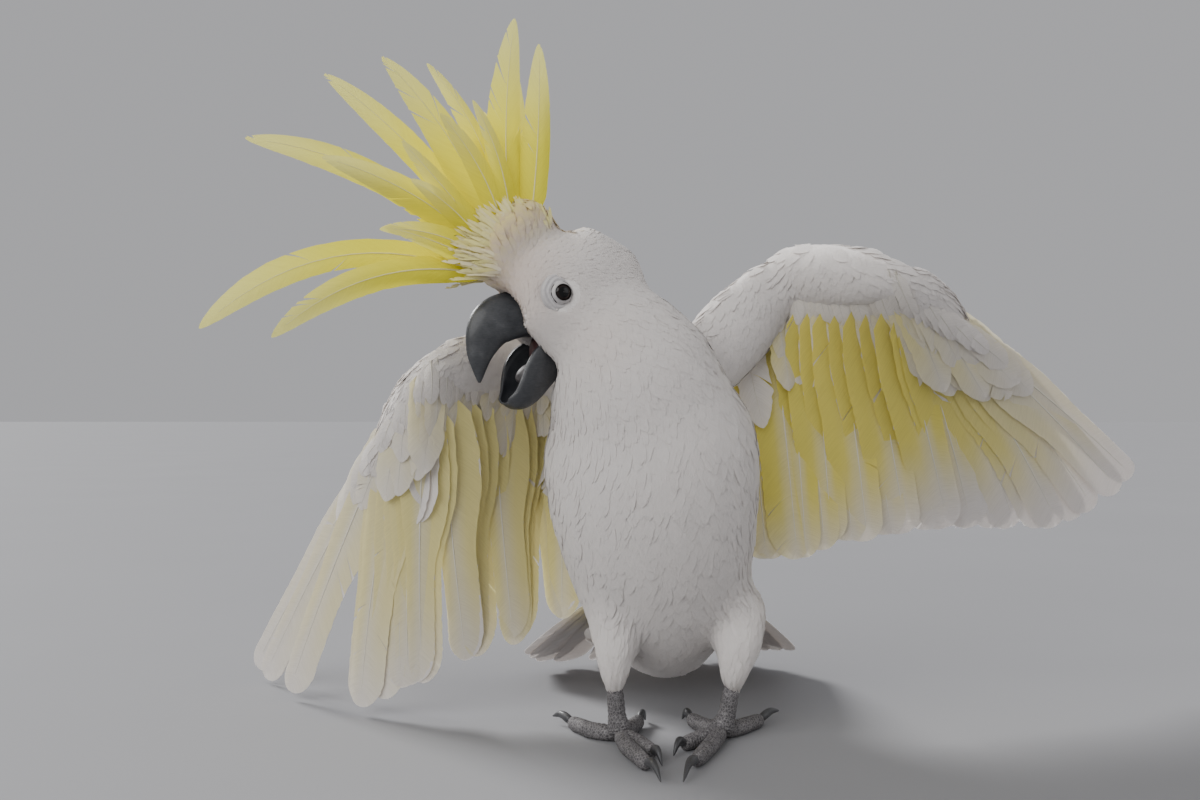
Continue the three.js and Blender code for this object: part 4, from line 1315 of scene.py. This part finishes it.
class COCKATOO_OT_crest(bpy.types.Operator):
    """The fanned crest"""

    bl_idname = "cockatoo.crest"
    bl_label = "Crest"

    def execute(self, context):
        material = feather_material("crest_feathers", 0.6, 0.0, 0.35, 0.22)
        piece(crest_feathers(), material, "crest_feathers", "crest")
        piece(crest_plumes(), material, "crest_feathers")
        return {"FINISHED"}


class COCKATOO_OT_bill(bpy.types.Operator):
    """Both halves of the bill and the mouth"""

    bl_idname = "cockatoo.bill"
    bl_label = "Bill"

    def execute(self, context):
        material = horn_material("bill_horn", tuple(context.scene.cockatoo_hard_parts.bill), 0.38)
        piece(upper_bill(), material, "bill", "bill_upper")
        piece(lower_bill(), material, "bill", "bill_lower")
        looks = (("mouth", mouth_lining, (0.012, 0.004, 0.004), (0.05, 0.014, 0.013)),
                 ("tongue", tongue, (0.03, 0.027, 0.028), (0.11, 0.10, 0.10)))
        for node, build, dark, light in looks:
            piece(build(), moist_material(node, dark, light), "mouth", node)
        return {"FINISHED"}


class COCKATOO_OT_eyes(bpy.types.Operator):
    """Eyeballs, lids and the bare rings round them"""

    bl_idname = "cockatoo.eyes"
    bl_label = "Eyes"

    def execute(self, context):
        eye_look = eye_material()
        ring_look = tinted_skin_material("eye_ring_skin", **EYE_RING_LOOK)
        for label, hand in (("left", 1), ("right", -1)):
            piece(eyeball(label, hand), eye_look, "eye", "eye_" + label)
            piece(eye_ring(label, hand), ring_look, "plumage")
        return {"FINISHED"}


def eyeball(label, hand):
    """A ball whose pole looks out of the head; grain holds the distance from the pupil's centre."""
    rings, sides = 28, 40
    polar = np.linspace(0.02, math.pi - 0.02, rings)
    turn = np.linspace(0, 2 * math.pi, sides, endpoint=False)
    outward = HEAD_SIDE * hand
    bulge = 1 + 0.05 * np.exp(-(polar / 0.5) ** 2)
    radius = EYE_RADIUS * bulge
    wide = (np.sin(polar) * radius)[:, None, None]
    spot = (outward * (np.cos(polar) * radius)[:, None, None] + FACING * wide * np.cos(turn)[None, :, None]
            + UP * wide * np.sin(turn)[None, :, None])
    points = (head_place(EYE_AHEAD, EYE_HEIGHT, EYE_ASIDE * hand) + spot).reshape(-1, 3)
    quads, (first, last) = tube_faces(rings, sides)
    if hand < 0:
        quads = quads[:, ::-1]
    caps = [first[:, ::-1], last]
    out = np.broadcast_to((np.sin(polar) * EYE_RADIUS / 5.2)[:, None], (rings, sides))
    grain = np.stack([out, np.broadcast_to(turn[None, :], (rings, sides)), np.zeros((rings, sides))], axis=-1)
    spread = 0.45 * (polar / math.pi)[:, None]
    uv = np.stack([0.5 + spread * np.cos(turn), 0.5 + spread * np.sin(turn)], axis=-1)
    return add_mesh("eyeball_" + label, points, [quads] + caps, uv.reshape(-1, 2), grain=grain.reshape(-1, 3))


def eye_ring(label, hand):
    """Bare wrinkled skin from the lids' rim out to the feathers."""
    rng = np.random.default_rng(61)
    rings, sides = 30, 96
    reach = np.linspace(0, 1, rings)[:, None]
    turn = np.linspace(0, 2 * math.pi, sides, endpoint=False)[None, :]
    lid = 4.5 * (1 - 0.05 * np.sin(turn) ** 2)
    out = lid + (10.8 - lid) * reach
    wave = np.sin(turn * 2 + rng.uniform(0, 6)) * 1.1 + np.sin(turn * 5 + rng.uniform(0, 6)) * 0.6
    ball = np.sqrt(np.maximum(EYE_RADIUS**2 - out**2, 0))
    drop = EYE_ASIDE + ball + 0.5
    skin = 24.6 - 0.10 * np.maximum(out - 5, 0) ** 1.6
    blend = smooth_step(out, 5.0, 6.6)
    height = drop * (1 - blend) + skin * blend
    ripple = np.sin(reach * 5.5 * math.pi + wave)
    folds = 0.2 * ripple * smooth_step(reach, 0.1, 0.3) * (1 - smooth_step(reach, 0.85, 1))
    rim = 0.45 * np.exp(-((reach - 0.03) / 0.06) ** 2)
    height = height + folds + rim - 1.0 * smooth_step(reach, 0.8, 1)
    outward = HEAD_SIDE * hand
    centre = head_place(EYE_AHEAD, EYE_HEIGHT, 0)
    points = (centre + outward * height[..., None] + FACING * (out * np.cos(turn))[..., None]
              + UP * (out * np.sin(turn))[..., None])
    quads, _ = tube_faces(rings, sides)
    if hand < 0:
        quads = quads[:, ::-1]
    base = np.array(bpy.context.scene.cockatoo_hard_parts.ring)
    # darker at the lids' rim, and painted shade in the troughs of the folds
    dark = 1 - 0.72 * np.exp(-(reach / 0.05) ** 2) - 0.12 * (ripple < -0.5)
    tint = (np.ones((rings, sides, 1)) * base * dark[..., None]).reshape(-1, 3)
    uv = np.stack(np.broadcast_arrays(turn / (2 * math.pi), reach), axis=-1)
    return add_mesh("eye_ring_" + label, points.reshape(-1, 3), [quads], uv.reshape(-1, 2), tint)


class COCKATOO_OT_feet(bpy.types.Operator):
    """Scaly shanks and toes with their claws"""

    bl_idname = "cockatoo.feet"
    bl_label = "Feet"

    def execute(self, context):
        scales = scaly_material()
        horn = horn_material("claw_horn", (0.03, 0.029, 0.031), 0.35)
        for leg, plan in LEGS.items():
            toes = [f"{leg}_{toe}" for toe in plan["toes"]]
            piece(foot(leg, plan), scales, "foot", leg + "_tarsus", *toes)
            piece(claws(leg, plan), horn, "claw", *[toe + "_claw" for toe in toes])
        return {"FINISHED"}


def ringed(count, depth):
    """Reshapes a loft into scutes across its upper side."""
    def reshape(share, turn, wide, deep):
        wave = np.abs(np.sin(share * math.pi * count)) ** 0.6
        swell = 1 + depth * (wave - 0.6)
        return wide * swell, deep * swell
    return reshape


def gathered(parts):
    """Points, faces and a tiled unwrap of several lofts as one."""
    points, faces, uvs, start = [], [], [], 0
    for i, (p, f, uv) in enumerate(parts):
        points.append(p)
        faces.extend(np.asarray(a) + start for a in f)
        uvs.append((uv * 0.9 + 0.05 + np.array([i % 3, i // 3])) / 3)
        start += len(p)
    return np.concatenate(points), faces, np.concatenate(uvs)


TOE_AXIS_HEIGHT = 5
CLAW_ARCH_HEIGHT = 7
SOLE_GAP = 0.05  # between the lowest skin and the floor


def foot(leg, plan):
    cuff, pad = np.array(plan["cuff"], float), np.array(plan["pad"], float)
    shank = [(cuff + UP * 8, 5, 5), (mix(cuff, pad, 0.5), 5, 5), (pad, 8, 7)]
    parts = [loft(shank, LEFTWARD, 28, 60, 4, ringed(9, 0.10))]
    heel = pad * [1, 1, 0] + UP * TOE_AXIS_HEIGHT
    for near, far, _ in plan["toes"].values():
        near, far = np.array(near, float), np.array(far, float)
        across = unit(np.cross(UP, far - heel))
        stations = [(mix(heel, near, 0.1), 4.8, 4.6), (near, 4.4, 4.5), (mix(near, far, 0.5), 4.1, 4.2),
                    (far, 3.6, 4.2)]
        scutes = int(np.linalg.norm(far - heel) / 2.6)
        parts.append(loft(stations, across, 24, 90, 5, ringed(scutes, 0.13)))
    points, faces, uv = gathered(parts)
    points[:, 2] = np.maximum(points[:, 2], SOLE_GAP)
    return add_mesh(leg + "_foot", points, faces, uv)


def claws(leg, plan):
    parts = []
    for _, far, point in plan["toes"].values():
        far, point = np.array(far, float), np.array(point, float)
        across = unit(np.cross(UP, point - far))
        arch = mix(far, point, 0.5) * [1, 1, 0] + UP * CLAW_ARCH_HEIGHT
        root = far * [1, 1, 0] + UP * TOE_AXIS_HEIGHT
        parts.append(loft([(root, 2.6, 3.0), (arch, 1.9, 2.2), (point, 0.5, 0.6)], across, 16, 24, 4))
    points, faces, uv = gathered(parts)
    points[:, 2] = np.maximum(points[:, 2], SOLE_GAP)
    return add_mesh(leg + "_claws", points, faces, uv)


# ---- Stage ----
class COCKATOO_OT_stage(bpy.types.Operator):
    """Floor, lamps and camera"""

    bl_idname = "cockatoo.stage"
    bl_label = "Stage"

    def execute(self, context):
        stage = context.scene.cockatoo_stage
        add_floor(tuple(stage.floor))
        add_world()
        # name, place, softness in degrees and strength of each lamp
        lamps = [("key", (-900, 700, 1000), 20, 4.2), ("front", (-1000, -1300, 1100), 50, 2.1),
                 ("side", (1400, -500, 700), 50, 0.5)]
        for name, place, softness, strength in lamps:
            add_lamp(name, np.array(place, float), softness, strength)
        add_camera(stage)
        return {"FINISHED"}


FLOOR_HALF = 40000
FLOOR_DROP = 0.1  # keeps the floor clear of the soles
LAMP_AIM = (40, 20, 160)
PICTURE_SHIFT = 17 / 1200  # how far the horizon lies from the picture's middle, in picture widths


def add_floor(colour):
    corners = np.array([(-1, -1), (1, -1), (1, 1), (-1, 1)]) * FLOOR_HALF
    points = np.column_stack([corners, np.full(len(corners), -FLOOR_DROP)])
    floor = add_mesh("studio_floor", points, [np.array([[0, 1, 2, 3]])])
    material, nodes, links, shader = new_material("studio_floor", 0.8, 0.2)
    place = own_place(nodes)
    cloud = noise(nodes, links, place, 3, 3)
    shades = ramp(nodes, links, cloud, [(0.3, mix(colour, (0, 0, 0), 0.03)), (0.7, colour)])
    links.new(shades, shader.inputs["Base Color"])
    floor.data.materials.append(material)


def add_world():
    world = bpy.data.worlds.new("studio")
    bpy.context.scene.world = world
    world.use_nodes = True
    background = world.node_tree.nodes["Background"]
    background.inputs["Color"].default_value = (0.84, 0.84, 0.87, 1)
    background.inputs["Strength"].default_value = 0.52


def add_lamp(name, place, softness, strength):
    data = bpy.data.lights.new(name, "SUN")
    data.angle = math.radians(softness)
    data.energy = strength
    lamp = new_object(name, data)
    lamp.location = in_frame(place)
    aim = Vector(in_frame(LAMP_AIM)) - Vector(lamp.location)
    lamp.rotation_mode = "QUATERNION"
    lamp.rotation_quaternion = aim.to_track_quat("-Z", "Y")


def add_camera(stage):
    data = bpy.data.cameras.new("camera")
    data.sensor_width = 36
    data.lens = stage.lens
    data.shift_y = PICTURE_SHIFT
    camera = new_object("camera", data)
    back = Vector((0, -stage.camera_distance, stage.camera_height))
    camera.location = Vector(in_frame((0, 0, 0))) + back
    camera.rotation_euler = (math.radians(90), 0, 0)
    bpy.context.scene.camera = camera


# ---- Add-on ----
STEPS = (COCKATOO_OT_skin, COCKATOO_OT_coat, COCKATOO_OT_wings, COCKATOO_OT_tail, COCKATOO_OT_crest,
         COCKATOO_OT_bill, COCKATOO_OT_eyes, COCKATOO_OT_feet, COCKATOO_OT_stage)


class COCKATOO_PT_panel(bpy.types.Panel):
    """Lists the steps and their settings"""

    bl_label = "Cockatoo"
    bl_idname = "COCKATOO_PT_panel"
    bl_space_type = "VIEW_3D"
    bl_region_type = "UI"
    bl_category = "Cockatoo"

    def draw(self, context):
        for group in [getattr(context.scene, name) for name in GROUPS]:
            box = self.layout.box()
            for name in group.bl_rna.properties.keys():
                if name not in ("name", "rna_type"):
                    box.prop(group, name)
        for step in STEPS:
            self.layout.operator(step.bl_idname)


GROUPS = {"cockatoo_plumage": CockatooPlumageSettings, "cockatoo_hard_parts": CockatooHardPartSettings,
          "cockatoo_stage": CockatooStageSettings}


def register():
    for cls in (*GROUPS.values(), *STEPS, COCKATOO_PT_panel):
        bpy.utils.register_class(cls)
    for name, cls in GROUPS.items():
        setattr(bpy.types.Scene, name, PointerProperty(type=cls))


def unregister():
    for name in GROUPS:
        delattr(bpy.types.Scene, name)
    for cls in (COCKATOO_PT_panel, *reversed(STEPS), *reversed(GROUPS.values())):
        bpy.utils.unregister_class(cls)


def main():
    register()
    for step in STEPS:
        group, name = step.bl_idname.split(".")
        getattr(getattr(bpy.ops, group), name)()


if __name__ == "__main__":
    main()
